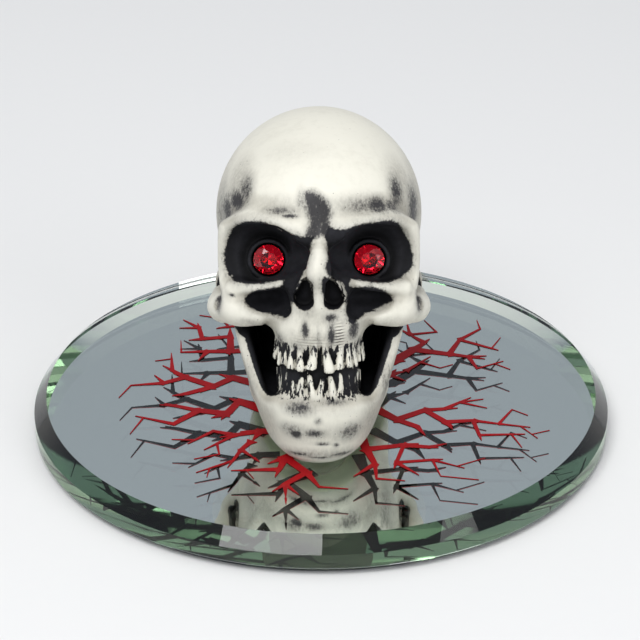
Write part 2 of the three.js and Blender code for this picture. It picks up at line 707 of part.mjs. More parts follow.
function peg(root, tip, rootRadius, tipRadius) {
  const height = root.distanceTo(tip);
  const geometry = turned([
    [0, -rootRadius],
    [rootRadius * PEG_ROUNDING_SHARE, -rootRadius * PEG_ROUNDING_SHARE],
    [rootRadius, 0],
    [tipRadius, height],
    [tipRadius * PEG_ROUNDING_SHARE, height + tipRadius * PEG_ROUNDING_SHARE],
    [0, height + tipRadius],
  ], TOOTH_SIDES);
  const direction = tip.clone().sub(root).normalize();
  geometry.applyQuaternion(new THREE.Quaternion().setFromUnitVectors(new THREE.Vector3(0, 0, 1), direction));
  geometry.translate(root.x, root.y, root.z);
  return solidOf(geometry.applyMatrix4(headFrame));
}

function upperTooth(degrees, index) {
  const radius = TOOTH_WIDTH / 2 * UPPER_WIDTH_SHARES[index];
  const [rootInset, tipInset] = UPPER_INSET_SHARES.map((share) => share * TOOTH_WIDTH);
  const root = archPoint(degToRad(degrees), rootInset, UPPER_ROOT_SHARE);
  const tip = archPoint(degToRad(degrees), tipInset, BITE_SHARE);
  tip.z += radius / 2;
  return peg(root, tip, radius * UPPER_NARROWING_SHARE, radius);
}

function lowerTooth(degrees, index) {
  const radius = TOOTH_WIDTH / 2 * LOWER_WIDTH_SHARES[index];
  const [rootInset, tipInset] = LOWER_INSET_SHARES.map((share) => share * TOOTH_WIDTH);
  const root = archPoint(degToRad(degrees), rootInset, LOWER_ROOT_SHARE);
  const tip = archPoint(degToRad(degrees), tipInset, BITE_SHARE);
  tip.z -= radius;
  return peg(root, tip, radius, radius * LOWER_NARROWING_SHARE);
}

// Nostrils: drop-shaped holes that run back into the nose.
const NOSTRIL_TOP_SHARES = [0.094, -0.358];
const NOSTRIL_FOOT_SHARES = [0.142, -0.567];
const NOSTRIL_RADIUS_SHARES = [0.021, 0.088];
const NOSTRIL_DEPTH_SHARES = [-1.32, -0.941];
const NOSTRIL_SEGMENTS = 7;

function nostril(side) {
  const [topX, topZ] = NOSTRIL_TOP_SHARES;
  const [footX, footZ] = NOSTRIL_FOOT_SHARES;
  const [topRadius, footRadius] = NOSTRIL_RADIUS_SHARES.map((share) => share * HALF.x);
  const [front, back] = NOSTRIL_DEPTH_SHARES.map((share) => share * HALF.y);
  const top = new THREE.Vector2(topX * HALF.x * side, topZ * HALF.z);
  const foot = new THREE.Vector2(footX * HALF.x * side, footZ * HALF.z);
  const down = foot.clone().sub(top).angle();
  const half = Math.acos((footRadius - topRadius) / foot.distanceTo(top));
  const outline = new THREE.Shape();
  outline.absarc(foot.x, foot.y, footRadius, down - Math.PI + half, down + Math.PI - half, false);
  outline.absarc(top.x, top.y, topRadius, down + Math.PI - half, down + Math.PI + half, false);
  const geometry = new THREE.ExtrudeGeometry(outline,
    { depth: back - front, bevelEnabled: false, curveSegments: NOSTRIL_SEGMENTS });
  geometry.rotateX(Math.PI / 2).translate(0, back, 0);
  return solidOf(geometry.applyMatrix4(headFrame));
}

// Eye stones stand in cups on the sockets' floors, turned up a little from the head's own axis.
const STONE_PLACE_SHARES = [0.475, -0.795, -0.257];
const CUP_SIDES = 20;
const CUP_DEPTH = STONE_GIRDLE + STONE_PAVILION + 2 * FOIL_GAP + FOIL_THICKNESS + BEAD_THICKNESS;

function stoneFrame(side) {
  const place = placed(STONE_PLACE_SHARES);
  return headFrame.clone()
    .multiply(new THREE.Matrix4().makeTranslation(side * place.x, place.y, place.z))
    .multiply(new THREE.Matrix4().makeRotationX(Math.PI / 2 - STONE_UPTURN));
}

function cup(side) {
  const post = disc(STONE_DIAMETER + 2 * (CUP_CLEARANCE + CUP_WALL), CUP_DEPTH + CUP_ROOT, CUP_SIDES);
  return solidOf(post.translate(0, 0, -CUP_DEPTH - CUP_ROOT).applyMatrix4(stoneFrame(side)));
}

function cupBore(side) {
  const bore = disc(STONE_DIAMETER + 2 * CUP_CLEARANCE, CUP_DEPTH + HALF.y, CUP_SIDES);
  return solidOf(bore.translate(0, 0, -CUP_DEPTH).applyMatrix4(stoneFrame(side)));
}

// Everything under the glue's top is cut away, so the casting has a flat foot.
function footCut() {
  const slab = new THREE.BoxGeometry(PLATE_DIAMETER, PLATE_DIAMETER, HEAD_RISE);
  return solidOf(slab.translate(0, 0, GLUE_THICKNESS - HEAD_RISE / 2));
}

function skullCasting() {
  const box = new THREE.Box3(
    new THREE.Vector3(-HEAD_WIDTH, -CHIN_REACH - HALF.y / 4, 0).divide(new THREE.Vector3(2, 1, 1)),
    new THREE.Vector3(HEAD_WIDTH / 2, HEAD_SETBACK + HALF.y, HEAD_RISE + HALF.z),
  ).expandByVector(new THREE.Vector3(HALF.x / 8, 0, 0));
  const form = meshGeometry(thinned(traced(skullField, box), FORM_FACETS));
  const added = joinAll([...UPPER_ANGLES.map(upperTooth), ...LOWER_ANGLES.map(lowerTooth), cup(-1), cup(1)]);
  const cuts = joinAll([footCut(), nostril(-1), nostril(1), cupBore(-1), cupBore(1)]);
  return solidOf(form).add(added).subtract(cuts);
}

// Red stone: a flat table, two rows of facets, a thin girdle and a pointed back
const STONE_FACETS = 8;
const TABLE_SHARE = 0.56;
const KITE_RADIUS_SHARE = 0.82;
const KITE_HEIGHT_SHARE = 0.52;
const BACK_SHARE = 0.5;

function stoneGeometry() {
  const ring = (share, height, count, offset) => Array.from({ length: count }, (_, index) => {
    const angle = (index + offset) * 2 * Math.PI / count;
    return new THREE.Vector3(Math.cos(angle), Math.sin(angle), 0)
      .multiplyScalar(STONE_DIAMETER / 2 * share)
      .setZ(height);
  });
  return new ConvexGeometry([
    ...ring(TABLE_SHARE, STONE_CROWN, STONE_FACETS, 0),
    ...ring(KITE_RADIUS_SHARE, STONE_CROWN * KITE_HEIGHT_SHARE, STONE_FACETS, 0.5),
    ...ring(1, 0, 2 * STONE_FACETS, 0),
    ...ring(1, -STONE_GIRDLE, 2 * STONE_FACETS, 0),
    ...ring(BACK_SHARE, -STONE_GIRDLE - STONE_PAVILION * BACK_SHARE, STONE_FACETS, 0),
    new THREE.Vector3(0, 0, -STONE_GIRDLE - STONE_PAVILION),
  ]);
}

// Foil: a thin cone behind the stone
function foilGeometry() {
  const rim = -STONE_GIRDLE - FOIL_GAP;
  const point = rim - STONE_PAVILION;
  const radius = STONE_DIAMETER / 2;
  const profile = [[0, point - FOIL_THICKNESS], [radius, rim - FOIL_THICKNESS], [radius, rim], [0, point]];
  return turned(profile, 2 * STONE_FACETS);
}

// Glue bead between the foil and the bottom of the cup
function beadGeometry() {
  return disc(BEAD_DIAMETER, BEAD_THICKNESS, 2 * STONE_FACETS).translate(0, 0, -CUP_DEPTH);
}

function eye(label, side) {
  const parts = new THREE.Group();
  parts.add(
    piece(`eye_stone_${label}`, stoneGeometry(), 0xd0101c, 0.05, 0.1),
    piece(`stone_foil_${label}`, foilGeometry(), 0xd9d9dc, 0.15, 1),
    piece(`stone_glue_${label}`, beadGeometry(), 0xd8d6c8, 0.4),
  );
  parts.applyMatrix4(stoneFrame(side));
  return parts;
}

function gluePad() {
  return disc(1, GLUE_THICKNESS, HUB_SIDES).scale(GLUE_WIDTH, GLUE_LENGTH, 1).translate(0, GLUE_SETBACK, 0);
}

function skull() {
  const assembly = new THREE.Group();
  assembly.add(
    piece('skull_casting', geometryOf(skullCasting()), 0xe9e6d6, 0.6),
    piece('skull_glue', gluePad(), 0xd8d6c8, 0.4),
    eye('left', -1),
    eye('right', 1),
  );
  assembly.position.set(HEAD_SIDE_SHIFT, 0, GLASS_TOP);
  return assembly;
}

const group = new THREE.Group();
group.add(mirrorPlate(), crackPrint(), skull());

export default group;
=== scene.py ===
"""A small Halloween skull of painted resin with red stones for eyes. It is glued on a round
bevelled mirror whose top carries a red crack print.

Lengths in the tables are millimetres, and places are measured from the plate's axis. Objects
are in metres. The face looks along -Y.
"""

import cmath
import math
import random

import bpy
import numpy as np
from bpy.props import FloatProperty, FloatVectorProperty, IntProperty, PointerProperty
from mathutils import Matrix, Vector
from mathutils.geometry import delaunay_2d_cdt


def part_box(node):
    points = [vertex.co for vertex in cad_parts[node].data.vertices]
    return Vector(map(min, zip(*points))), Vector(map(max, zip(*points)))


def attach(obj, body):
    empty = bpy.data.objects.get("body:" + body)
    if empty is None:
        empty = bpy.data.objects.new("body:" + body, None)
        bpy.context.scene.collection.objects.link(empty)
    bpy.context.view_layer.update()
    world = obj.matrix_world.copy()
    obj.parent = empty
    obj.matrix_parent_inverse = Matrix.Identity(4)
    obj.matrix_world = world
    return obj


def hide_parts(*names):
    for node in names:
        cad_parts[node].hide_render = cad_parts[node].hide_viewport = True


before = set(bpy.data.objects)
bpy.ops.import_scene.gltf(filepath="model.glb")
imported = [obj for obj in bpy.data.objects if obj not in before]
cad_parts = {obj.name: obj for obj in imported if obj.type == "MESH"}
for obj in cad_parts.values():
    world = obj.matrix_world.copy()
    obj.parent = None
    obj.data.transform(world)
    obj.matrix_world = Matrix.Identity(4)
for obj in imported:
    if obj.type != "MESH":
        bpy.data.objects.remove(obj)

bl_info = {
    "name": "Halloween skull decoration",
    "version": (1, 0, 0),
    "blender": (4, 5, 0),
    "location": "3D View > Sidebar > Skull",
    "description": "Makes the skull casting, its stones, the mirror plate and the crack print",
    "category": "Add Mesh",
}

MM = 0.001
BODY = "root"

# Heights and sizes that come from the frame
GLASS_LOW, GLASS_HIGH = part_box("mirror_glass")
SILVER_LOW, SILVER_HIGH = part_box("mirror_silvering")
FELT_LOW, FELT_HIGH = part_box("felt_base")
PRINT_LOW, PRINT_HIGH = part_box("crack_underprint_black")
RED_LOW, RED_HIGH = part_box("crack_print_red")
GLUE_LOW, GLUE_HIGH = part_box("skull_glue")
SKULL_AXIS = (GLUE_LOW.x + GLUE_HIGH.x) / 2
GLUE_HEIGHT = (GLUE_HIGH.z - GLASS_HIGH.z) / MM


# Settings that a user would change

def length(name, description, default):
    return FloatProperty(name=name, description=description, default=default, min=0, unit="LENGTH")


def colour(name, description, default):
    return FloatVectorProperty(name=name, description=description, default=default,
                               subtype="COLOR", size=3, min=0, max=1)


class CastingSettings(bpy.types.PropertyGroup):
    head_size: FloatVectorProperty(
        name="Head", description="Width, length and height of the braincase and face",
        default=(0.033, 0.041, 0.0335), subtype="XYZ", unit="LENGTH")
    grid_step: length("Grid step", "Fineness of the grid on which the form is traced", 0.000342)
    bone: colour("Bone", "Bone-white paint", (0.77, 0.75, 0.66))
    # Aged bone: bone paint where the wash has stayed in creases, also darkened there as painted shade
    washed_and_shaded_bone: colour("Aged bone", "Bone paint where the wash has stayed in it", (0.42, 0.395, 0.325))
    # Charcoal is the black paint, and is left darkest in deep hollows as painted shade
    charcoal: colour("Charcoal", "Black paint in the hollows", (0.002, 0.002, 0.0025))
    # Bare resin: the unpainted underside, its colour brightened as painted light where the mirror shows it
    bare_resin_with_painted_light: colour("Bare resin", "Unpainted resin underneath", (0.86, 0.87, 0.68))


class StoneSettings(bpy.types.PropertyGroup):
    red: colour("Stone", "Red of the faceted stones", (0.78, 0.008, 0.022))
    foil: colour("Foil", "Foil behind the stones", (0.9, 0.87, 0.85))
    glue: colour("Glue", "Clear glue", (0.62, 0.6, 0.5))


class PlateSettings(bpy.types.PropertyGroup):
    segments: IntProperty(name="Segments", description="Sides of the round plate", default=256, min=16)
    bevel_width: length("Bevel width", "Width of the ground edge", 0.0021)
    bevel_drop: length("Bevel drop", "Depth of the ground edge", 0.0025)
    seal: length("Seal", "How far the glass reaches into the silvering", 0.00004)
    glass: colour("Glass", "Tint of the glass along its edge", (0.72, 0.84, 0.68))
    silver: colour("Silver", "Reflecting layer", (0.9, 0.92, 0.925))
    backing: colour("Backing", "Paint behind the silvering", (0.10, 0.115, 0.125))
    felt: colour("Felt", "Felt under the plate", (0.016, 0.017, 0.02))


class PrintSettings(bpy.types.PropertyGroup):
    reach: length("Reach", "How far from the middle the longest cracks end", 0.0405)
    root_width: length("Root width", "Width of a crack where it starts", 0.0023)
    tip_width: length("Tip width", "Width of a crack where it ends", 0.00012)
    cracks: IntProperty(name="Cracks", description="Number of main cracks", default=11, min=3)
    seed: IntProperty(name="Seed", description="Chooses the pattern", default=60)
    red: colour("Red", "Upper ink", (0.35, 0.004, 0.007))
    black: colour("Black", "Lower ink", (0.005, 0.0045, 0.004))


class StageSettings(bpy.types.PropertyGroup):
    floor: colour("Floor", "Floor under the object", (0.80, 0.80, 0.79))
    floor_radius: length("Floor radius", "Radius of the floor", 4.0)
    camera_place: FloatVectorProperty(
        name="Camera", description="Where the camera stands", subtype="XYZ", unit="LENGTH",
        default=(-0.000172, -0.37056, 0.21502))
    camera_pitch: FloatProperty(
        name="Pitch", description="How far the camera looks down", subtype="ANGLE",
        default=math.radians(27.925))
    lens: FloatProperty(name="Lens", description="Focal length in millimetres", default=144.03, unit="CAMERA")


# Shader nodes

class Wire:
    """An output socket of a node. Sums and products of wires add Math nodes."""

    def __init__(self, nodes, socket):
        self.nodes = nodes
        self.socket = socket

    def maths(self, operation, *values, clamp=False):
        settings = {"operation": operation, "use_clamp": clamp}
        return self.nodes.node("ShaderNodeMath", settings, dict(enumerate(values)))

    def __add__(self, other):
        return self.maths("ADD", self, other)

    def __radd__(self, other):
        return self.maths("ADD", other, self)

    def __sub__(self, other):
        return self.maths("SUBTRACT", self, other)

    def __rsub__(self, other):
        return self.maths("SUBTRACT", other, self)

    def __mul__(self, other):
        return self.maths("MULTIPLY", self, other)

    def __rmul__(self, other):
        return self.maths("MULTIPLY", other, self)

    def clamped(self):
        return self.maths("ADD", self, 0.0, clamp=True)

    def at_least(self, other):
        return self.maths("MAXIMUM", self, other)

    def sharpened(self, middle, steepness):
        """Stretches the values about a middle one, which becomes a half, and keeps them in 0 to 1."""
        return ((self - middle) * steepness + 0.5).clamped()


class Nodes:
    """Adds nodes to one node tree."""

    def __init__(self, tree):
        self.tree = tree
        self.tree.nodes.clear()

    def node(self, kind, settings=None, sockets=None, out=0):
        made = self.tree.nodes.new(kind)
        for name, value in (settings or {}).items():
            if name == "stops":
                self.set_stops(made.color_ramp, value)
            else:
                setattr(made, name, value)
        for name, value in (sockets or {}).items():
            self.feed(made.inputs[name], value)
        return Wire(self, made.outputs[out]) if made.outputs else made

    def set_stops(self, ramp, stops):
        while len(ramp.elements) < len(stops):
            ramp.elements.new(1)
        for element, (position, shade) in zip(ramp.elements, stops):
            element.position = position
            element.color = (*shade, 1)

    def feed(self, socket, value):
        if isinstance(value, Wire):
            self.tree.links.new(value.socket, socket)
        elif socket.type == "RGBA":
            socket.default_value = (*value, 1)
        else:
            socket.default_value = value

    def mix(self, share, first, second):
        """Mixes two colours, whose sockets come after those for numbers and vectors."""
        return self.node("ShaderNodeMix", {"data_type": "RGBA"}, {0: share, 6: first, 7: second}, out=2)


class Finish(Nodes):
    """A material for one finish of the object."""

    def __init__(self, name):
        self.material = bpy.data.materials.new(name)
        self.material.use_nodes = True
        super().__init__(self.material.node_tree)
        self.place = self.node("ShaderNodeTexCoord", out=3)

    def noise(self, grain, detail=3.0, roughness=0.55, place=None):
        """Noise from 0 to 1 whose grain is given in millimetres."""
        sockets = {"Vector": place or self.place, "Scale": 1 / (grain * MM), "Detail": detail,
                   "Roughness": roughness}
        return self.node("ShaderNodeTexNoise", None, sockets)

    def stretched(self, stretch):
        """The place with its axes scaled, for grain that runs one way."""
        sockets = {"Vector": self.place, "Scale": stretch}
        return self.node("ShaderNodeMapping", {"vector_type": "POINT"}, sockets)

    def attribute(self, name):
        return self.node("ShaderNodeAttribute", {"attribute_name": name}, out=2)

    def bump(self, height, depth):
        """Relief whose depth is given in millimetres."""
        return self.node("ShaderNodeBump", None, {"Height": height, "Distance": depth * MM, "Strength": 1.0})

    def done(self, **sockets):
        """Feeds the shader and returns the material."""
        shader = self.node("ShaderNodeBsdfPrincipled", None,
                           {name.replace("_", " "): value for name, value in sockets.items()})
        self.node("ShaderNodeOutputMaterial", None, {"Surface": shader})
        return self.material


def clouded(name, colours, grain, detail, roughness, unevenness=0, relief=0, **sockets):
    """A finish whose colour follows one noise, and its roughness and relief too where asked for."""
    finish = Finish(name)
    cloud = finish.noise(grain, detail)
    if unevenness:
        roughness = roughness + cloud * unevenness
    if relief:
        sockets["Normal"] = finish.bump(cloud, relief)
    return finish.done(Base_Color=finish.mix(cloud, *colours), Roughness=roughness, **sockets)


# Colours of the wash, whose haze brown is also painted shade, and second colours that noise mixes into the
# bone, the black and the resin
CREAM = (0.74, 0.72, 0.62)
HAZE_AND_SHADE_BROWN = (0.19, 0.175, 0.145)
RIB_BROWN = (0.05, 0.045, 0.04)
SPECK_GREY = (0.08, 0.075, 0.07)
SMUDGE_BLACK = (0.026, 0.025, 0.029)
# Lighter black paint: worn patches, and places where no painted shade deepens the black
WORN_AND_LIT_BLACK = (0.018, 0.018, 0.022)
YELLOW_RESIN = (0.78, 0.79, 0.58)
SPECK_SPACING = 0.9
SPECK_RADIUS = 0.12
SPECK_CHANCE = 0.09
RIB_SPACING = 1.6
PAINT_RELIEF = 0.05


def wash_specks(finish, smudge, haze):
    """Small round specks: a few everywhere, more in the smudges and in the haze and painted shade."""
    sockets = {"Vector": finish.place, "Scale": 1 / (SPECK_SPACING * MM)}
    distance = finish.node("ShaderNodeTexVoronoi", None, sockets)
    tint = finish.node("ShaderNodeTexVoronoi", None, sockets, out=1)
    chance = finish.node("ShaderNodeSeparateColor", None, {"Color": tint})
    wanted = (smudge * 0.9 + haze * 0.6 + SPECK_CHANCE - chance) * 9
    return ((SPECK_RADIUS - distance) * 22).clamped() * wanted.clamped() * 0.8


def wash_smudges(smudge, brushed, fine):
    """Smudges with a black core and brushed edges."""
    scrubbed = smudge + (brushed - 0.5) * 1.2 + (fine - 0.5) * 0.6
    core = scrubbed.sharpened(middle=0.62, steepness=1.5) * (smudge * 2.5).clamped()
    return (smudge * (brushed + 0.1)).clamped().at_least(core) * 0.965


def gum_grooves(finish, ribs):
    """Level grooves above the front teeth."""
    sockets = {"Vector": finish.place, "Scale": 1 / (RIB_SPACING * MM), "Distortion": 1.5, "Detail": 1.0,
               "Detail Scale": 3.0}
    lines = finish.node("ShaderNodeTexWave", {"bands_direction": "Z"}, sockets)
    return (lines.sharpened(middle=0.68, steepness=5) * ribs).clamped()


def painted_resin(settings):
    """Bone paint, black paint in the hollows, a wash in smudges, strands and specks, and a bare foot.
    Creases, deep hollows and the sides also get painted shade, and the foot painted light.
    """
    finish = Finish("painted_resin")
    ink, smudge, haze, crease, foot, ribs, strands = (
        finish.attribute(name) for name in ("ink", "smudge", "haze", "crease", "foot", "ribs", "strands"))
    fine = finish.noise(grain=0.35, detail=4, roughness=0.65)
    middling = finish.noise(grain=1.3, detail=4, roughness=0.6)
    broad = finish.noise(grain=7, detail=3)
    brushed = finish.noise(grain=0.6, detail=5, roughness=0.75, place=finish.stretched((1.3, 1, 0.55)))
    streaks = finish.noise(grain=0.5, detail=4, roughness=0.6, place=finish.stretched((1, 0.6, 0.16)))

    streaky = ((streaks - 0.5) * 4.4 + 0.2) * strands
    frayed = ink + (fine - 0.5) * 0.75 + (middling - 0.5) * 0.35 + streaky
    black = frayed.sharpened(middle=0.5, steepness=4.5)
    grooved = gum_grooves(finish, ribs)
    layers = [
        # Creases: the wash that stays in them, and painted shade, both from how shut in each place is
        ((crease * 0.9 + (middling - 0.5) * 0.5 + (broad - 0.5) * 0.3).clamped(), settings.washed_and_shaded_bone),
        # Haze: brown wash, and painted shade on the sides and under the cheekbones
        ((haze * (brushed * 1.5 + fine * 0.5 - 0.3)).clamped() * 0.8, HAZE_AND_SHADE_BROWN),
        (grooved * 0.85, RIB_BROWN),
        (wash_specks(finish, smudge, haze), SPECK_GREY),
        (wash_smudges(smudge, brushed, fine), SMUDGE_BLACK),
        # Black paint: charcoal where the crease mask is high, which is painted shade in deep hollows, while
        # noise adds worn patches
        (black, finish.mix((middling * (1.7 - crease * 1.6)).clamped(), settings.charcoal, WORN_AND_LIT_BLACK)),
        # The bare foot, brightened as painted light
        (foot, finish.mix(broad, settings.bare_resin_with_painted_light, YELLOW_RESIN)),
    ]
    paint = finish.mix((broad * 0.5).clamped(), settings.bone, CREAM)
    for share, tint in layers:
        paint = finish.mix(share, paint, tint)
    height = fine * 0.25 + middling * 0.5 - grooved * 1.2 - black * 0.15 - streaky * 0.35
    return finish.done(
        Base_Color=paint,
        Roughness=0.42 + black * 0.24 + fine * 0.12,
        Specular_IOR_Level=0.18,
        Normal=finish.bump(height, PAINT_RELIEF),
    )


def red_stone(settings):
    colours = (settings.red, (0.62, 0.004, 0.016))
    return clouded("red_stone", colours, grain=2.2, detail=1, roughness=0.0,
                   Transmission_Weight=1.0, IOR=1.62)


def stone_foil(settings):
    colours = (settings.foil, (0.75, 0.7, 0.7))
    return clouded("stone_foil", colours, grain=0.6, detail=3, roughness=0.08, unevenness=0.1,
                   relief=0.02, Metallic=1.0)


def clear_glue(settings):
    colours = (settings.glue, (0.5, 0.47, 0.36))
    return clouded("clear_glue", colours, grain=1.5, detail=4, roughness=0.22, unevenness=0.15,
                   relief=0.05)


GLASS_DENSITY = 38.0


def clear_glass(settings):
    """Clear inside, with a tint that only a long way through the glass shows."""
    finish = Finish("clear_glass")
    smears = finish.noise(grain=6, detail=4, roughness=0.6)
    shader = finish.node("ShaderNodeBsdfPrincipled", None, {
        "Base Color": (1, 1, 1),
        "Transmission Weight": 1.0,
        "IOR": 1.5,
        "Roughness": (smears - 0.6).at_least(0.0) * 0.01,
    })
    sockets = {"Color": settings.glass, "Density": GLASS_DENSITY}
    tint = finish.node("ShaderNodeVolumeAbsorption", None, sockets)
    finish.node("ShaderNodeOutputMaterial", None, {"Surface": shader, "Volume": tint})
    return finish.material


def mirror_silver(settings):
    colours = (settings.silver, (0.885, 0.905, 0.915))
    return clouded("mirror_silver", colours, grain=9, detail=2, roughness=0.012, unevenness=0.012,
                   Metallic=1.0)


def backing_paint(settings):
    finish = Finish("backing_paint")
    orange_peel = finish.noise(grain=0.9, detail=2)
    streaks = finish.noise(grain=5, detail=4, place=finish.stretched((0.2, 1, 1)))
    return finish.done(
        Base_Color=finish.mix(streaks, settings.backing, (0.07, 0.08, 0.09)),
        Roughness=0.5 + orange_peel * 0.2,
        Normal=finish.bump(orange_peel, depth=0.03),
    )


def felt(settings):
    """Pressed fibres: short strands that cross, over soft lumps."""
    finish = Finish("felt")
    strands = finish.noise(grain=0.12, detail=5, roughness=0.75, place=finish.stretched((1, 0.25, 1)))
    crossing = finish.noise(grain=0.12, detail=5, roughness=0.75, place=finish.stretched((0.25, 1, 1)))
    lumps = finish.noise(grain=1.1, detail=3)
    fibres = strands.at_least(crossing)
    return finish.done(
        Base_Color=finish.mix(
            fibres.sharpened(middle=0.55, steepness=2.5), settings.felt, (0.055, 0.057, 0.064)),
        Roughness=0.95,
        Sheen_Weight=0.4,
        Normal=finish.bump(fibres + lumps * 0.6, depth=0.08),
    )


def red_ink(settings):
    """Printed enamel: even, slightly darker where it is thick."""
    finish = Finish("red_ink")
    cloud = finish.noise(grain=2.4, detail=4, roughness=0.6)
    grain = finish.noise(grain=0.25, detail=2)
    return finish.done(
        Base_Color=finish.mix(
            cloud.sharpened(middle=0.5, steepness=2), settings.red, (0.24, 0.004, 0.007)),
        Roughness=0.3 + grain * 0.14,
        Specular_IOR_Level=0.12,
        Normal=finish.bump(grain * 0.4 + cloud, depth=0.02),
    )


def black_ink(settings):
    colours = (settings.black, (0.014, 0.012, 0.011))
    return clouded("black_ink", colours, grain=0.3, detail=3, roughness=0.4, unevenness=0.2,
                   relief=0.015, Specular_IOR_Level=0.1)


# Pieces

def settings_of(context, name):
    return getattr(context.scene, "skull_" + name)


def add_object(name, data):
    made = bpy.data.objects.new(name, data)
    bpy.context.scene.collection.objects.link(made)
    return made


def add_piece(name, mesh, material, slot, *nodes):
    """Puts a mesh in the scene in place of CAD nodes."""
    mesh.name = name
    mesh.materials.clear()
    mesh.materials.append(material)
    piece = add_object(name, mesh)
    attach(piece, BODY)
    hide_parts(*nodes)


def dress(material, *nodes):
    """Gives CAD nodes, whose shape stays, their finish."""
    for name in nodes:
        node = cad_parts[name]
        for material_slot in node.material_slots:
            material_slot.material = material
        if not node.material_slots:
            node.data.materials.append(material)


# The casting's form: a field in millimetres that is negative inside. Round forms melt into one
# another or are hollowed out. Places and radii are shares of half the head's width, length and
# height, and the radii of ropes and the blends are shares of half its width. Ink is 1 for a form
# whose face is painted black, and 0 where it isn't given.

HEAD_SETBACK = 2.0
HEAD_RISE = 31.0
HEAD_TILT = math.radians(14)
ROPE_SPANS = 4
TINY = 1e-9

BRAINCASE = dict(name="braincase", ball=((0, 0.117, -0.024), (0.982, 0.878, 1.009), 2.0, 0))

NECK = dict(name="neck", level=True, blend=0.242, ink=1,
            ball=((0, 0.195, 0.537), (0.715, 0.615, 0.776), 2.4, 0))

FACE_FORMS = [
    dict(name="front of the braincase", blend=0.303,
         ball=((0, -0.254, 0.048), (0.891, 0.751, 0.812), 2.12, 0)),
    dict(name="forehead", blend=0.182,
         ball=((0, -0.361, 0.203), (0.79, 0.644, 0.537), 2.2, 0)),
    dict(name="middle of the face", blend=0.182,
         ball=((0, -0.463, -0.394), (0.842, 0.546, 0.555), 2.8, 0)),
    dict(name="brow and outer rim of the eye", paired=True, blend=0.133,
         rope=([(0.097, -1.01, 0.03), (0.279, -1.024, 0.096), (0.521, -0.956, 0.161),
                (0.727, -0.834, 0.173), (0.861, -0.727, 0.048), (0.903, -0.659, -0.215),
                (0.873, -0.663, -0.49), (0.776, -0.727, -0.716)],
               [0.061, 0.073, 0.079, 0.085, 0.076, 0.055, 0.073, 0.127])),
    dict(name="cheekbone and its arch", paired=True, blend=0.109,
         rope=([(0.57, -0.839, -0.758), (0.727, -0.732, -0.77), (0.861, -0.566, -0.794),
                (0.939, -0.351, -0.83), (0.945, -0.156, -0.776), (0.909, 0.029, -0.681)],
               [0.109, 0.139, 0.139, 0.142, 0.097, 0.097])),
    dict(name="root of the cheekbone", blend=0.091,
         ball=((0, -0.322, -0.74), (0.812, 0.42, 0.275), 2.6, 0)),
    dict(name="upper jaw", blend=0.109,
         ball=((0, -0.693, -0.8), (0.442, 0.4, 0.37), 2.5, 0)),
    dict(name="gums behind the teeth", blend=0.091, ink=1,
         ball=((0, -0.683, -1.194), (0.376, 0.356, 0.537), 3, 0)),
    dict(name="eye socket, outer part", paired=True, hollowed=True, blend=0.061, ink=1,
         ball=((0.582, -1.005, -0.182), (0.388, 0.322, 0.287), 2.4, 19)),
    dict(name="eye socket, inner part", paired=True, hollowed=True, blend=0.061, ink=1,
         ball=((0.261, -1.044, -0.203), (0.188, 0.224, 0.155), 2.2, 16)),
    dict(name="hollow under the eye", paired=True, hollowed=True, blend=0.048, ink=1,
         ball=((0.485, -0.956, -0.612), (0.23, 0.215, 0.122), 2.0, 0)),
    dict(name="hollow beside the nose", paired=True, hollowed=True, blend=0.048, ink=1,
         ball=((0.364, -0.985, -0.618), (0.115, 0.146, 0.143), 2, 0)),
    dict(name="lower rim of the eye", paired=True, blend=0.061,
         rope=([(0.8, -0.771, -0.531), (0.642, -0.878, -0.493), (0.485, -0.932, -0.466),
                (0.351, -0.966, -0.427)],
               [0.079, 0.048, 0.033, 0.018])),
    dict(name="bridge of the nose", blend=0.048,
         rope=([(0, -1.005, 0.072), (0, -1.068, -0.072), (0, -1.132, -0.251), (0, -1.117, -0.334)],
               [0.036, 0.067, 0.115, 0.106])),
    dict(name="sides of the nose", blend=0.07,
         ball=((0, -0.956, -0.531), (0.273, 0.195, 0.233), 2.1, 0)),
    dict(name="channel beside the nose", paired=True, hollowed=True, blend=0.055, ink=1,
         rope=([(0.242, -1.034, -0.328), (0.279, -1.034, -0.448), (0.321, -1.02, -0.573)],
               [0.055, 0.055, 0.061])),
    dict(name="nostril", paired=True, hollowed=True, blend=0.03, ink=1,
         drop=((0.106, -0.4), (0.139, -0.552), (0.045, 0.094), (-1.366, -0.941))),
    dict(name="furrow between the brows", hollowed=True, blend=0.061,
         ball=((0, -1.132, 0.251), (0.085, 0.127, 0.275), 2, 0)),
    dict(name="crease over the brow", paired=True, hollowed=True, blend=0.121,
         rope=([(0.303, -1.122, 0.293), (0.521, -1.068, 0.34), (0.727, -0.941, 0.346), (0.903, -0.78, 0.233)],
               [0.048, 0.082, 0.1, 0.106])),
    dict(name="temple", paired=True, hollowed=True, blend=0.097,
         ball=((1.109, -0.42, -0.09), (0.17, 0.19, 0.382), 2, 0)),
]

CHIN = dict(name="chin", level=True, blend=0.133,
            ball=((0, -1.054, 0.478), (0.4, 0.21, 0.293), 2.2, 0))

SIDE_FORMS = [
    dict(name="bone behind the ear", paired=True, blend=0.109,
         rope=([(0.812, 0.098, -0.657), (0.739, 0.029, -0.985)], [0.17, 0.103])),
    dict(name="ear opening", paired=True, hollowed=True, blend=0.036, ink=0.8,
         ball=((1.006, -0.078, -0.669), (0.097, 0.059, 0.078), 2, 0)),
    dict(name="hollow in the side of the jaw", level=True, paired=True, hollowed=True, blend=0.091,
         ball=((0.927, -0.22, 0.627), (0.103, 0.205, 0.275), 2, 0)),
    dict(name="slit in the cheekbone", paired=True, hollowed=True, blend=0.03, ink=0.9,
         ball=((0.982, -0.6, -0.69), (0.055, 0.05, 0.1), 2, 0)),
]

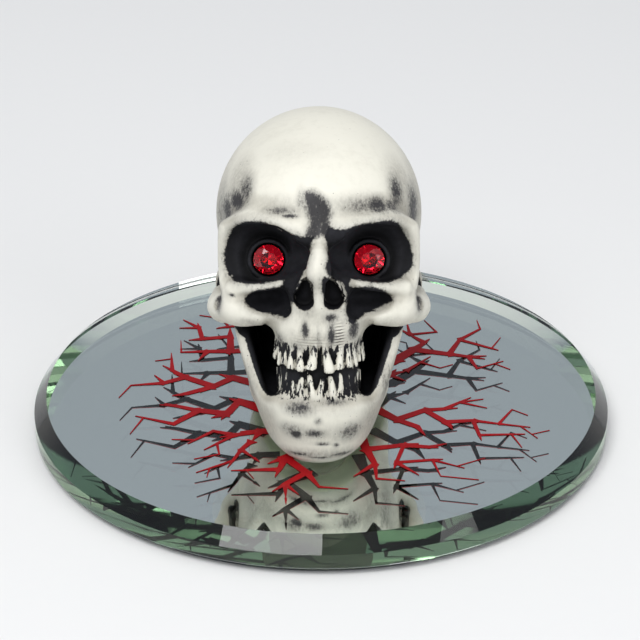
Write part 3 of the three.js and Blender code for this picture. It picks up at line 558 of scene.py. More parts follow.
JAW_WIDTH = 27.0
CHIN_REACH = 26.4
JAW_MIDDLE = 8.0
JAW_WALL = 2.3
CHIN_WALL = 4.5
JAW_FLOOR = 7.0
SILL_HEIGHT = 9.3
CHIN_RISE = 1.6
RAMUS_HEIGHT = 19.3
JAW_EDGE_RADIUS = 2.2
JAW_POWER = 2.3
JAW_FOOT_SHARE = 0.6
JAW_FOOT_POWER = 0.65
JAW_FLARE_SHARE = 0.86
JAW_STRETCH_SHARE = 0.55
FLARE_REACHES = (15.0, 2.0)
RISE_REACHES = (21.0, 12.5)
THICKENING_REACHES = (19.1, 25.0)
RIM_SLOPE = 0.75
RAMUS_LEAN = 0.12
RAMUS_REACH = 0.54
JAW_BLEND = 1.0
FLOOR_BLEND = 0.8
RIM_BLEND = 1.6
RAMUS_BLEND = 2.0
JAW_INK_EDGE = 1.2

# Teeth: pegs on the arch of the gums, as pairs of angle in degrees and share of the tooth radius
TOOTH_RADIUS = 0.95
ARCH_RADII = (7.1, 8.5)
ARCH_FRONT = -22.3
GUM_HEIGHT = -16.6
BITE_HEIGHT = -20.9
SILL_DEPTH = -25.2
UPPER_TEETH = [
    (-84, 0.42), (-73, 0.5), (-61, 0.58), (-49, 0.66), (-37, 0.8), (-24, 0.84), (-8, 1),
    (11, 0.98), (27, 0.84), (40, 0.8), (52, 0.63), (63, 0.55), (74, 0.5), (85, 0.42)]
LOWER_TEETH = [
    (-80, 0.42), (-70, 0.44), (-59, 0.5), (-48, 0.6), (-36, 0.66), (-24, 0.74), (-11, 0.8),
    (4, 0.68), (17, 0.8), (30, 0.72), (42, 0.64), (54, 0.52), (65, 0.5), (76, 0.42)]
TOOTH_UNEVENNESS = 0.34
TOOTH_LEAN = 4.0
UNEVENNESS_TURN = 2.4
LEAN_TURN = 3.7
TOOTH_BLEND = 0.3
BITE_SHARE = 0.35

# Each row: its teeth, the heights of root and tip, how far in they stand, and their narrowing
TOOTH_ROWS = [
    (UPPER_TEETH, (GUM_HEIGHT, BITE_HEIGHT + 0.5), (0.45, 0.15), (0.45, 1)),
    (LOWER_TEETH, (SILL_DEPTH, BITE_HEIGHT - 0.7), (0.75, 0.55), (1, 0.55)),
]

# Cups that hold the stones
STONE_PLACE = (0.475, -0.795, -0.257)
STONE_UPTURN = math.radians(7)
CUP_BORE = 2.65
CUP_RIM = 3.25
CUP_DEPTH = 2.43
CUP_ROOT = 1.2
CUP_BLEND = 0.25
BORE_REACH = 12
BORE_BLEND = 0.05

# How gently forms melt into one another where no table says it, and how soon their ink takes over
DROP_BLEND = 0.5
FORM_INK_EDGE = 0.5
HOLLOW_INK_EDGE = 0.7

# Black paint on the face, as closed outlines of points across and up, seen along PAINT_SLOPE
PAINT_SLOPE = math.radians(27.9)
PAINTED_OUTLINES = [
    # Left socket and hollow
    [
        (-13.4, -3.5), (-12.7, -2.8), (-11.3, -2.4), (-9.8, -2.4), (-8.6, -2.5), (-7.3, -3.0),
        (-6.0, -3.6), (-4.2, -4.3), (-2.5, -4.9), (-0.7, -4.7), (-1.1, -5.5), (-1.6, -7.0),
        (-2.1, -9.3), (-3.1, -11.7), (-3.9, -13.6), (-4.4, -14.9), (-4.9, -16.2), (-5.5, -16.8),
        (-7.2, -16.5), (-8.9, -16.1), (-10.3, -15.5), (-11.2, -14.9), (-11.5, -14.3), (-10.9, -13.5),
        (-9.6, -12.9), (-7.9, -12.7), (-5.7, -12.3), (-5.1, -11.1), (-6.5, -11.3), (-8.8, -11.8),
        (-11.0, -11.8), (-13.0, -11.4), (-14.1, -10.3), (-14.7, -8.5), (-14.6, -6.7), (-14.1, -5.0)],
    # Right socket and hollow
    [
        (1.6, -3.3), (2.7, -3.7), (4.2, -3.7), (5.6, -3.1), (7.2, -2.8), (9.9, -2.4), (11.2, -2.2),
        (12.2, -2.6), (13.1, -3.8), (14.1, -5.5), (14.6, -7.4), (14.5, -9.0), (13.8, -9.9),
        (12.5, -10.9), (10.8, -11.6), (8.2, -11.6), (6.3, -11.2), (4.9, -11.0), (4.5, -12.0),
        (5.4, -12.6), (6.9, -12.4), (8.4, -12.4), (10.0, -12.9), (11.2, -13.7), (11.5, -14.4),
        (10.2, -14.9), (8.6, -15.7), (7.0, -16.4), (6.1, -17.2), (5.4, -18.2), (4.6, -17.6),
        (4.4, -16.0), (4.4, -13.6), (3.8, -11.6), (2.2, -11.0), (1.3, -10.3), (1.1, -9.6), (1.5, -8.0),
        (1.5, -6.7), (1.0, -4.7)],
    # Left nostril
    [
        (-2.0, -11.2), (-1.3, -12.1), (-1.0, -13.4), (-1.1, -14.6), (-1.6, -15.7), (-2.1, -16.0),
        (-2.9, -15.5), (-3.6, -14.6), (-3.6, -13.5), (-3.1, -12.2), (-2.6, -11.6)],
    # Right nostril
    [
        (0.7, -10.9), (1.6, -11.2), (2.4, -11.6), (3.1, -12.4), (3.6, -13.6), (3.6, -14.7),
        (2.7, -15.6), (1.9, -15.3), (1.1, -14.4), (0.6, -13.2), (0.5, -11.9)],
]
BROW_MARK = [
    (-2.1, 1.9), (-0.8, 2.1), (0.3, 1.3), (1.3, 0.4), (1.7, -0.8), (1.5, -2.1), (1.5, -3.1),
    (2.2, -3.7), (1.3, -4.7), (0.2, -4.5), (-0.7, -4.8), (-2.1, -4.9), (-1.8, -3.9), (-1.1, -2.6),
    (-1.5, -1.5), (-1.8, -0.3), (-2.0, 0.9)]

# Smudges of the black wash: place and radii in the head's frame, strength
SMUDGES = [
    # Between and over the brows
    ((-2.7, -20.4, 6.0), (0.7, 1.6, 1.8), 0.62), ((-6.0, -20.6, 4.3), (2.6, 1.8, 0.6), 0.8),
    ((-4.4, -21.0, 3.6), (1.3, 1.6, 0.3), 1.1), ((9.2, -18.9, 4.9), (2.5, 2.2, 1.3), 1.0),
    ((6.6, -20.1, 4.9), (3.4, 2.0, 1.2), 0.68), ((11.6, -16.8, 4.4), (2.2, 2.6, 1.2), 0.88),
    # Temples
    ((-11.6, -15.6, 7.0), (1.5, 2.4, 3.0), 0.9), ((-12.8, -14.1, 4.6), (2.2, 3.0, 1.6), 1.08),
    ((-14.6, -11.4, 2.6), (1.6, 3.6, 2.6), 1.0), ((12.2, -14.8, 6.8), (1.3, 2.6, 3.4), 1.0),
    ((15.0, -9.4, 2.2), (1.5, 3.8, 4.4), 1.0), ((-15.6, -8.2, 0.4), (1.8, 5.0, 5.4), 0.7),
    # Around the right hollow and nostril
    ((4.6, -20.6, -7.6), (0.7, 1.6, 1.4), 0.8), ((5.4, -20.3, -14.4), (1.1, 1.8, 2.0), 1.0),
    ((6.4, -19.6, -16.8), (1.2, 1.6, 1.6), 0.72), ((3.9, -21.2, -11.2), (0.35, 1.2, 1.4), 0.55),
    # Roots and gums
    ((-2.15, -22.2, -14.1), (0.6, 1.2, 1.5), 1.1), ((1.9, -22.3, -12.1), (1.1, 1.2, 0.8), 1.0),
    ((1.9, -22.2, -14.9), (0.6, 1.2, 2.0), 1.1), ((-0.1, -22.4, -15.6), (0.3, 1.2, 1.6), 0.6),
    ((-6.4, -19.2, -16.4), (1.5, 1.8, 1.3), 0.8), ((6.9, -18.9, -17.0), (1.5, 1.8, 1.6), 0.85),
    ((-3.6, -21.4, -17.0), (1.2, 1.6, 0.8), 0.62),
    # Under the lower teeth and on the chin
    ((-3.2, -22.2, -26.6), (2.4, 1.6, 1.2), 0.9), ((2.5, -22.2, -25.7), (2.4, 1.6, 0.5), 0.8),
    ((-0.1, -22.8, -28.7), (0.65, 1.2, 0.65), 0.72), ((-3.7, -21.5, -31.1), (1.1, 1.4, 0.8), 1.2),
    ((-4.5, -21.2, -30.4), (2.3, 1.8, 1.2), 0.66), ((-0.7, -22.3, -30.8), (1.7, 1.4, 0.7), 1.0),
    ((0.6, -21.8, -32.7), (1.1, 1.4, 0.3), 1.15), ((2.8, -21.3, -33.0), (0.5, 1.2, 0.4), 1.1),
    ((5.2, -20.6, -30.9), (2.4, 2.0, 1.6), 0.82),
    # Foot of the chin
    ((-3.6, -20.4, -34.6), (2.8, 1.8, 0.3), 1.0), ((0.2, -21.0, -35.1), (1.8, 1.8, 0.25), 1.0),
    ((4.2, -20.0, -34.7), (2.6, 1.8, 0.3), 0.95),
    # Cheekbones
    ((-15.7, -12.8, -11.2), (1.0, 2.4, 2.2), 1.25), ((15.7, -12.8, -11.0), (1.0, 2.4, 2.4), 1.25),
    ((-9.4, -16.8, -13.6), (2.4, 1.8, 0.6), 0.72), ((-13.5, -16.6, -9.8), (0.5, 1.0, 0.3), 1.15),
    # Sides of the jaw, back of the head and behind the arches
    ((-10.5, -12.5, -24.5), (1.4, 4.0, 4.0), 0.5), ((10.5, -12.5, -24.5), (1.4, 4.0, 4.0), 0.66),
    ((0, 17.5, -10.0), (14.0, 6.0, 3.4), 0.75), ((-14.6, 3.0, -10.0), (3.0, 8.0, 3.0), 0.7),
    ((14.6, 3.0, -10.0), (3.0, 8.0, 3.0), 0.7),
]

# Grey-brown haze of the wash, in the same way. On the sides and under the cheekbones it is painted shade.
HAZES_AND_SHADE = [
    # Over the eyes, forehead and temples
    ((-6.5, -20.2, 4.7), (5.0, 3.0, 1.6), 0.6), ((7.5, -19.8, 5.0), (6.0, 3.0, 1.7), 0.75),
    ((-13.0, -13.0, 7.0), (2.6, 5.0, 6.0), 0.8), ((13.2, -12.8, 7.0), (2.6, 5.0, 6.0), 0.8),
    ((-15.6, -5.0, 2.0), (2.6, 8.0, 6.0), 0.7), ((15.6, -5.0, 2.0), (2.6, 8.0, 6.0), 0.8),
    # Under the cheekbones, and the knobs behind them: painted shade
    ((-8.8, -16.6, -14.0), (4.0, 3.0, 1.0), 0.6), ((9.2, -16.6, -13.8), (4.0, 3.0, 1.0), 0.6),
    ((-16.4, -4.0, -10.5), (2.4, 4.0, 3.0), 0.6), ((16.4, -4.0, -10.5), (2.4, 4.0, 3.0), 0.6),
    # Gum, lower teeth, chin and its foot
    ((0.3, -22.0, -16.0), (6.0, 3.0, 1.9), 0.75), ((0.0, -21.8, -26.4), (6.5, 3.0, 1.4), 0.45),
    ((0.0, -21.5, -31.0), (7.5, 3.0, 1.8), 0.5), ((0.0, -20.4, -34.6), (8.0, 4.0, 1.0), 0.9),
    # Beside the chin and the jaw
    ((-8.5, -16.5, -30.0), (2.2, 5.0, 4.0), 0.6), ((8.5, -16.5, -30.0), (2.2, 5.0, 4.0), 0.75),
    ((-12.0, -9.0, -24.0), (2.5, 7.0, 6.0), 0.55), ((12.0, -9.0, -24.0), (2.5, 7.0, 6.0), 0.65),
    # Back of the head and foot of the nose bridge
    ((0.0, 17.0, -8.0), (12.0, 6.0, 6.0), 0.6), ((-0.1, -22.6, -5.6), (1.5, 2.0, 0.9), 0.5),
    # Sides of the braincase: painted shade where the head turns away from the light
    ((-16.0, -1.0, 5.0), (2.6, 12.0, 9.0), 0.5), ((16.0, -1.0, 5.0), (2.6, 12.0, 9.0), 0.55),
    # High on the forehead, under the nose and on the crown
    ((-4.5, -14.1, 12.4), (5.0, 3.0, 1.6), 0.22), ((0.5, -21.8, -12.6), (4.5, 3.0, 1.6), 0.5),
    ((1.0, 11.0, 12.5), (9.0, 7.0, 5.0), 0.2),
]
RIBS = [
    # Over the right and the left front tooth
    ((3.1, -21.9, -15.2), (0.75, 1.2, 1.8), 1.2), ((-1.6, -22.1, -16.2), (2.4, 1.2, 0.9), 0.4),
]


class Tool:
    """One form of the sculpt: a distance and the box outside which it isn't near."""

    def __init__(self, distance, low, high):
        self.distance = distance
        self.low = low
        self.high = high

    def near(self, points, margin):
        return np.all((points > self.low - margin) & (points < self.high + margin), axis=1)


def ball(centre, radii, power, roll):
    """A ball whose power squares it off and whose roll, in degrees, turns it about the depth axis."""
    cos, sin = math.cos(math.radians(roll)), math.sin(math.radians(roll))

    def distance(points):
        x, y, z = (points - centre).T
        shares = np.abs(np.stack([x * cos - z * sin, y, x * sin + z * cos], 1) / radii) + TINY
        size = (shares ** power).sum(1) ** (1 / power)
        slope = np.sqrt(((shares ** (power - 1) / radii) ** 2).sum(1))
        return (size - 1) * size ** (power - 1) / slope

    reach = np.full(3, max(radii[0], radii[2]))
    reach[1] = radii[1]
    return Tool(distance, centre - reach, centre + reach)


def smooth_curve(points, radii):
    """Stations of place and radius on a smooth curve through the points."""
    stations = np.column_stack([points, radii])
    ends = np.vstack([2 * stations[0] - stations[1], stations, 2 * stations[-1] - stations[-2]])
    curve = []
    for a, b, c, d in zip(ends, ends[1:], ends[2:], ends[3:]):
        for t in np.arange(ROPE_SPANS) / ROPE_SPANS:
            curve.append((2 * b + (c - a) * t + (2 * a - 5 * b + 4 * c - d) * t ** 2
                          + (3 * b - a - 3 * c + d) * t ** 3) / 2)
    return np.array(curve + [stations[-1]])


def from_segment(places, start, end):
    """Distances from a segment, and how far along it each place is, from 0 to 1."""
    along, offset = end - start, places - start
    t = np.clip(offset @ along / (along @ along), 0, 1)
    return np.linalg.norm(offset - t[:, None] * along, axis=1), t


def rods(stations):
    """Tapering round rods end to end."""

    def distance(points):
        nearest = np.full(len(points), np.inf)
        for a, b in zip(stations, stations[1:]):
            off_axis, t = from_segment(points, a[:3], b[:3])
            nearest = np.minimum(nearest, off_axis - (a[3] + (b[3] - a[3]) * t))
        return nearest

    radius = stations[:, 3].max()
    return Tool(distance, stations[:, :3].min(0) - radius, stations[:, :3].max(0) + radius)


def drop(top, foot, radii, depths, half):
    """A hole along the depth axis whose outline is a drop."""
    flat = half[[0, 2]]
    top, foot = np.array(top) * flat, np.array(foot) * flat
    small, large = np.array(radii) * half[0]
    front, back = np.array(depths) * half[1]

    def distance(points):
        off_axis, t = from_segment(points[:, [0, 2]], top, foot)
        outline = off_axis - (small + (large - small) * t)
        depth = np.abs(points[:, 1] - (front + back) / 2) - (back - front) / 2
        return -melt(-outline, -depth, DROP_BLEND)

    low = np.array([min(top[0], foot[0]), front, foot[1]]) - [large, 0, large]
    high = np.array([max(top[0], foot[0]), back, top[1]]) + [large, 0, large]
    return Tool(distance, low, high)


def melt(a, b, blend):
    """The smaller of two distances, rounded where they are nearly the same."""
    near = np.clip(blend - np.abs(a - b), 0, None) / blend
    return np.minimum(a, b) - near * near * blend / 4


def ramp(values, start, end):
    """How far the values have come from start to end, between 0 and 1."""
    return np.clip((values - start) / (end - start), 0, 1)


def eased(t):
    return t * t * (3 - 2 * t)


def jaw_side(x, y, z):
    """Distance from the jaw's outer side, whose plan is squared off and widens upwards."""
    risen = ramp(z, 0, RAMUS_HEIGHT - JAW_WALL)
    foot = JAW_FOOT_SHARE + (1 - JAW_FOOT_SHARE) * risen ** JAW_FOOT_POWER
    flare = np.clip(JAW_FLARE_SHARE - foot, 0, None) * eased(ramp(-y, *FLARE_REACHES))
    half_width, half_length = JAW_WIDTH / 2, CHIN_REACH - JAW_MIDDLE
    ahead = y + JAW_MIDDLE
    a = np.abs(x) / (foot + flare) / half_width + TINY
    b = np.abs(np.minimum(ahead, ahead * JAW_STRETCH_SHARE)) / half_length + TINY
    size = (a ** JAW_POWER + b ** JAW_POWER) ** (1 / JAW_POWER)
    slope = np.hypot(a ** (JAW_POWER - 1) / half_width, b ** (JAW_POWER - 1) / half_length)
    return (size - 1) * size ** (JAW_POWER - 1) / slope


def jaw(points):
    """The lower jaw's wall and floor, and how black it is: black inside."""
    x, y, z = points.T
    side = jaw_side(x, y, z)
    side_in, foot_in = side + JAW_EDGE_RADIUS, JAW_EDGE_RADIUS - z
    outer = np.minimum(np.maximum(side_in, foot_in), 0) - JAW_EDGE_RADIUS
    outer += np.hypot(np.clip(side_in, 0, None), np.clip(foot_in, 0, None))
    thick = ramp(-y, *THICKENING_REACHES)
    filled = np.minimum(-side - (JAW_WALL + (CHIN_WALL - JAW_WALL) * thick), z - JAW_FLOOR)
    rise = (RAMUS_HEIGHT - SILL_HEIGHT) * eased(ramp(-y, *RISE_REACHES))
    rim = SILL_HEIGHT + rise + CHIN_RISE * thick
    field = -melt(-outer, -filled, FLOOR_BLEND)
    ink = np.clip(0.5 + (filled - outer) / JAW_INK_EDGE, 0, 1)
    field = -melt(-field, -(z - rim) * RIM_SLOPE, RIM_BLEND)
    field = -melt(-field, -(y + RAMUS_LEAN * z - RAMUS_REACH), RAMUS_BLEND)
    return field, ink


def arch_point(degrees, inset, height):
    angle = math.radians(degrees)
    across, deep = ARCH_RADII
    return (math.sin(angle) * (across - inset), ARCH_FRONT + deep - math.cos(angle) * (deep - inset), height)


def tooth(root, tip, bite, up):
    """A peg that is bitten off flat."""
    rod = rods(np.array([root, tip]))

    def distance(points):
        return -melt(-rod.distance(points), -(points[:, 2] - bite) * up, TOOTH_BLEND)

    return Tool(distance, rod.low, rod.high)


def tooth_row(teeth, heights, insets, narrowing):
    """Pegs of one row. Heights, insets and narrowing are those of the root and of the tip."""
    pegs = []
    up = math.copysign(1, heights[1] - heights[0])
    for index, (degrees, share) in enumerate(teeth):
        root_radius, tip_radius = (TOOTH_RADIUS * share * part for part in narrowing)
        uneven = TOOTH_UNEVENNESS * math.sin(index * UNEVENNESS_TURN)
        lean = TOOTH_LEAN * math.sin(index * LEAN_TURN + 1)
        root = (*arch_point(degrees - lean, insets[0], heights[0]), root_radius)
        tip = (*arch_point(degrees + lean / 2, insets[1], heights[1]), tip_radius)
        pegs.append(tooth(root, tip, heights[1] + uneven + up * tip_radius * BITE_SHARE, up))
    return pegs


def stone_frame(half, side):
    """From a stone's own frame, which looks along +Z, to the head's frame."""
    place = Vector(np.array(STONE_PLACE) * half * (side, 1, 1))
    return Matrix.Translation(place) @ Matrix.Rotation(math.pi / 2 - STONE_UPTURN, 4, "X")


def post(matrix, radius, low, high):
    """A round post along Z of a frame."""
    back = np.array(matrix.inverted())

    def distance(points):
        x, y, z = (points @ back[:3, :3].T + back[:3, 3]).T
        return np.maximum(np.hypot(x, y) - radius, np.abs(z - (low + high) / 2) - (high - low) / 2)

    middle = np.array(matrix.translation)
    reach = radius + high - low
    return Tool(distance, middle - reach, middle + reach)


class Sculpt:
    """The whole form of the casting, in millimetres from the skull's axis and the glass's top."""

    def __init__(self, half):
        self.half = half
        self.tools = {}

    def tool(self, form):
        key = form["name"]
        if key not in self.tools:
            if "ball" in form:
                centre, radii, power, roll = form["ball"]
                made = ball(np.array(centre) * self.half, np.array(radii) * self.half, power, roll)
            elif "rope" in form:
                points, radii = form["rope"]
                made = rods(smooth_curve(np.array(points) * self.half, np.array(radii) * self.half[0]))
            else:
                made = drop(*form["drop"], self.half)
            self.tools[key] = made
        return self.tools[key]

    def head_frame(self, points):
        cos, sin = math.cos(HEAD_TILT), math.sin(HEAD_TILT)
        x, y, z = points.T
        back, up = y - HEAD_SETBACK, z - HEAD_RISE
        return np.stack([x, back * cos - up * sin, back * sin + up * cos], 1)

    def apply(self, state, points, tool, blend, ink, hollowed=False, reach=4.0):
        """Joins or hollows out one tool where it is near enough to matter."""
        near = tool.near(points, blend + reach)
        if not near.any():
            return
        self.blend_in(state, near, tool.distance(points[near]), blend, ink, hollowed)

    def blend_in(self, state, near, distance, blend, ink, hollowed=False):
        """Changes the field and the ink at the points that are near."""
        field, paint = state
        here = field[near]
        if hollowed:
            share = (-distance - here) / max(blend, HOLLOW_INK_EDGE)
            field[near] = -melt(-here, distance, blend)
        else:
            share = (here - distance) / max(blend, FORM_INK_EDGE)
            field[near] = melt(here, distance, blend)
        share = np.clip(0.5 + share, 0, 1)
        paint[near] += (ink - paint[near]) * share

    def shape(self, state, forms, head, level):
        """Adds forms one after another. A paired one is on both sides, because it sees |x|."""
        for form in forms:
            points = level if form.get("level") else head
            if form.get("paired"):
                points = points.copy()
                points[:, 0] = np.abs(points[:, 0])
            self.apply(state, points, self.tool(form), form["blend"] * self.half[0], form.get("ink", 0),
                       form.get("hollowed", False))

    def teeth(self, state, head):
        for row in TOOTH_ROWS:
            for peg in tooth_row(*row):
                self.apply(state, head, peg, TOOTH_BLEND, 0)

    def cups(self, state, head):
        for side in (-1, 1):
            matrix = stone_frame(self.half, side)
            self.apply(state, head, post(matrix, CUP_RIM, -CUP_DEPTH - CUP_ROOT, 0), CUP_BLEND, 1)
            bore = post(matrix, CUP_BORE, -CUP_DEPTH, BORE_REACH)
            self.apply(state, head, bore, BORE_BLEND, 1, hollowed=True)

    def evaluate(self, level):
        """Field and ink at points."""
        head = self.head_frame(level)
        state = (self.tool(BRAINCASE).distance(head), np.zeros(len(level)))
        self.shape(state, [NECK, *FACE_FORMS], head, level)
        distance, ink = jaw(level)
        self.blend_in(state, np.ones(len(level), bool), distance, JAW_BLEND, ink)
        self.shape(state, [CHIN], head, level)
        self.teeth(state, head)
        self.shape(state, SIDE_FORMS, head, level)
        self.cups(state, head)
        field, paint = state
        return np.maximum(field, GLUE_HEIGHT - level[:, 2]), paint

    def field(self, points):
        return self.in_batches(points)[0]

    def ink(self, points):
        return self.in_batches(points)[1]

    def in_batches(self, points, batch=200000):
        """Field and ink at any number of points."""
        parts = [self.evaluate(points[start:start + batch]) for start in range(0, len(points), batch)]
        return np.concatenate([part[0] for part in parts]), np.concatenate([part[1] for part in parts])

    def slope(self, points, nudge=0.04):
        """How the field changes along each axis."""
        slopes = np.empty_like(points)
        for axis in range(3):
            offset = np.zeros(3)
            offset[axis] = nudge
            slopes[:, axis] = (self.field(points + offset) - self.field(points - offset)) / (2 * nudge)
        return slopes


# Tracing the field: one vertex in each grid cell that the surface crosses, and one quad across
# each grid edge that it crosses

CORNERS = np.array([(i & 1, i >> 1 & 1, i >> 2) for i in range(8)])
EDGES = [(a, b) for a in range(8) for b in range(a + 1, 8) if bin(a ^ b).count("1") == 1]
BLOCK = 4
NEAR_BLOCKS = 1.6
SUNK_SHARE = 0.01
SETTLING_ROUNDS = 2
LEAST_STEEPNESS = 0.25


def sampled(field, low, high, step):
    """Values on a fine grid. Blocks that the surface doesn't come near take their middle's value."""
    blocks = np.ceil((high - low) / (step * BLOCK)).astype(int)
    middles = np.stack(np.meshgrid(*[(np.arange(count) + 0.5) * BLOCK - 0.5 for count in blocks],
                                   indexing="ij"), -1).reshape(-1, 3)
    rough = field(low + middles * step)
    values = np.repeat(np.repeat(np.repeat(rough.reshape(blocks), BLOCK, 0), BLOCK, 1), BLOCK, 2)
    near = np.argwhere(np.abs(rough.reshape(blocks)) < NEAR_BLOCKS * step * BLOCK)
    inner = np.stack(np.meshgrid(*[np.arange(BLOCK)] * 3, indexing="ij"), -1).reshape(-1, 3)
    cells = (near[:, None] * BLOCK + inner).reshape(-1, 3)
    values[tuple(cells.T)] = field(low + cells * step)
    return values


def untangle(values, step):
    """Fills the corner nearest the surface where two sheets would meet in one edge."""
    tangled = True
    while tangled:
        tangled = False
        for u, v in ((0, 1), (1, 2), (2, 0)):
            shape = [count - (axis in (u, v)) for axis, count in enumerate(values.shape)]
            ring = []
            for moves in ((), (u,), (u, v), (v,)):
                starts = [axis in moves for axis in range(len(shape))]
                cut = tuple(slice(start, start + count) for start, count in zip(starts, shape))
                ring.append(values[cut])
            signs = [part < 0 for part in ring]
            bad = np.argwhere((signs[0] == signs[2]) & (signs[1] == signs[3]) & (signs[0] != signs[1]))
            for place in bad:
                tangled = True
                outside = [part for part in ring if part[tuple(place)] >= 0]
                nearest = min(outside, key=lambda part: part[tuple(place)], default=ring[0])
                nearest[tuple(place)] = -step * SUNK_SHARE


def cell_vertices(values):
    """The cells that the surface crosses, and a vertex in each of them, in grid steps."""
    inside = values < 0
    count = sum(inside[tuple(slice(o, o + n - 1) for o, n in zip(corner, inside.shape))].astype(int)
                for corner in CORNERS)
    cells = np.argwhere((count > 0) & (count < len(CORNERS)))
    at_corners = values[tuple((cells[:, None] + CORNERS).transpose(2, 0, 1))]
    total, crossings = np.zeros((len(cells), 3)), np.zeros(len(cells))
    for a, b in EDGES:
        first, second = at_corners[:, a], at_corners[:, b]
        crossed = (first < 0) != (second < 0)
        share = np.where(crossed, first / np.where(crossed, first - second, 1), 0)
        total += crossed[:, None] * (CORNERS[a] + share[:, None] * (CORNERS[b] - CORNERS[a]))
        crossings += crossed
    return cells, cells + total / crossings[:, None]


def edge_quads(inside, numbers):
    """A quad across each grid edge that the surface crosses. The numbers are those of the cells."""
    quads = []
    units = np.eye(3, dtype=int)
    end = np.array(inside.shape) - 1
    for axis in range(3):
        ahead, u, v = units[axis], units[(axis + 1) % 3], units[(axis + 2) % 3]
        start = 1 - ahead
        here = inside[tuple(slice(a, b) for a, b in zip(start, end))]
        there = inside[tuple(slice(a, b) for a, b in zip(start + ahead, end + ahead))]
        for leaving in (True, False):
            base = np.argwhere((here != there) & (here == leaving)) + start
            around = [base - u - v, base - v, base, base - u]
            ring = [numbers[tuple(cells.T)] for cells in around]
            quads.append(np.stack(ring if leaving else ring[::-1], 1))
    return np.concatenate(quads)


def traced(values, low, step):
    """Points and quads of the surface."""
    cells, places = cell_vertices(values)
    numbers = np.full(values.shape, -1)
    numbers[tuple(cells.T)] = np.arange(len(cells))
    return low + step * places, edge_quads(values < 0, numbers)


def settled(sculpt, points, step):
    """Moves points down the field's slope onto the surface."""
    start = points.copy()
    for _ in range(SETTLING_ROUNDS):
        slope = sculpt.slope(points)
        steep = np.clip((slope ** 2).sum(1), LEAST_STEEPNESS, None)
        points = points - slope * (sculpt.field(points) / steep)[:, None]
    shift = points - start
    far = np.linalg.norm(shift, axis=1, keepdims=True)
    return start + shift * np.minimum(1, step / 2 / np.maximum(far, TINY))


# Where the masks apply, in the head's frame, though for the neck and the foot in the level one. Of
# the values that a ramp takes, the mask is 0 at the first and 1 at the second. Depth says how much
# of the way outwards other parts of the form take up.
SPOT_EDGE = (1.8, 0.2)
PAINT_EDGE, PAINT_MIDDLE = 1.0, 0.6
SPLASH_EDGE, SPLASH_MIDDLE, SPLASH_STRENGTH = 1.7, 1.0, 0.62
MARK_EDGE, MARK_MIDDLE, MARK_STRENGTH = 1.5, 0.75, 1.06
DEPTH_REACHES = (2.0, 4.0, 6.5)
CREASE_WEIGHTS = [(0.8, 1.1), (1.8, 0.5)]
CREASE_DEPTH_WEIGHT = 0.7
CREASE_START = 0.08
OUTLINED_FRONT = -9
OUTLINED_HEIGHTS = (-19, 3)
TURNED_AWAY = (0.5, 0.3)
MOUTH_TOP, MOUTH_BACK = -13.5, 4
MOUTH_DEPTHS = (0.42, 0.62)
NECK_PLACES = (-1, 8)
NECK_DEPTHS = (0.75, 0.45)
TEMPLE_TURNS = (0.5, 0.7)
TEMPLE_SIDE, TEMPLE_FOOT = 12, -8
STRAND_TOPS = (GUM_HEIGHT + 0.6, GUM_HEIGHT - 0.6)
STRAND_FEET = (SILL_DEPTH - 1.2, SILL_DEPTH - 0.2)
STRAND_SIDES = (8.6, 7.6)
STRAND_BACK = -12
FOOT_BAND = 0.15


def spots(table, head):
    """The strongest of the soft round spots at each point."""
    strongest = np.zeros(len(head))
    for centre, radii, strength in table:
        distance = np.sqrt((((head - centre) / radii) ** 2).sum(1))
        strongest = np.maximum(strongest, strength * eased(ramp(distance, *SPOT_EDGE)))
    return strongest


def outline_distance(outline, places):
    """Distance in the plane from an outline, negative inside."""
    nearest = np.full(len(places), np.inf)
    inside = np.zeros(len(places), bool)
    corners = np.array(outline)
    for a, b in zip(corners, np.roll(corners, -1, axis=0)):
        nearest = np.minimum(nearest, from_segment(places, a, b)[0])
        run, rise = b - a
        across, up = (places - a).T
        spans = (a[1] > places[:, 1]) != (b[1] > places[:, 1])
        inside ^= spans & (across < run * up / (rise if abs(rise) > TINY else TINY))
    return np.where(inside, -nearest, nearest)


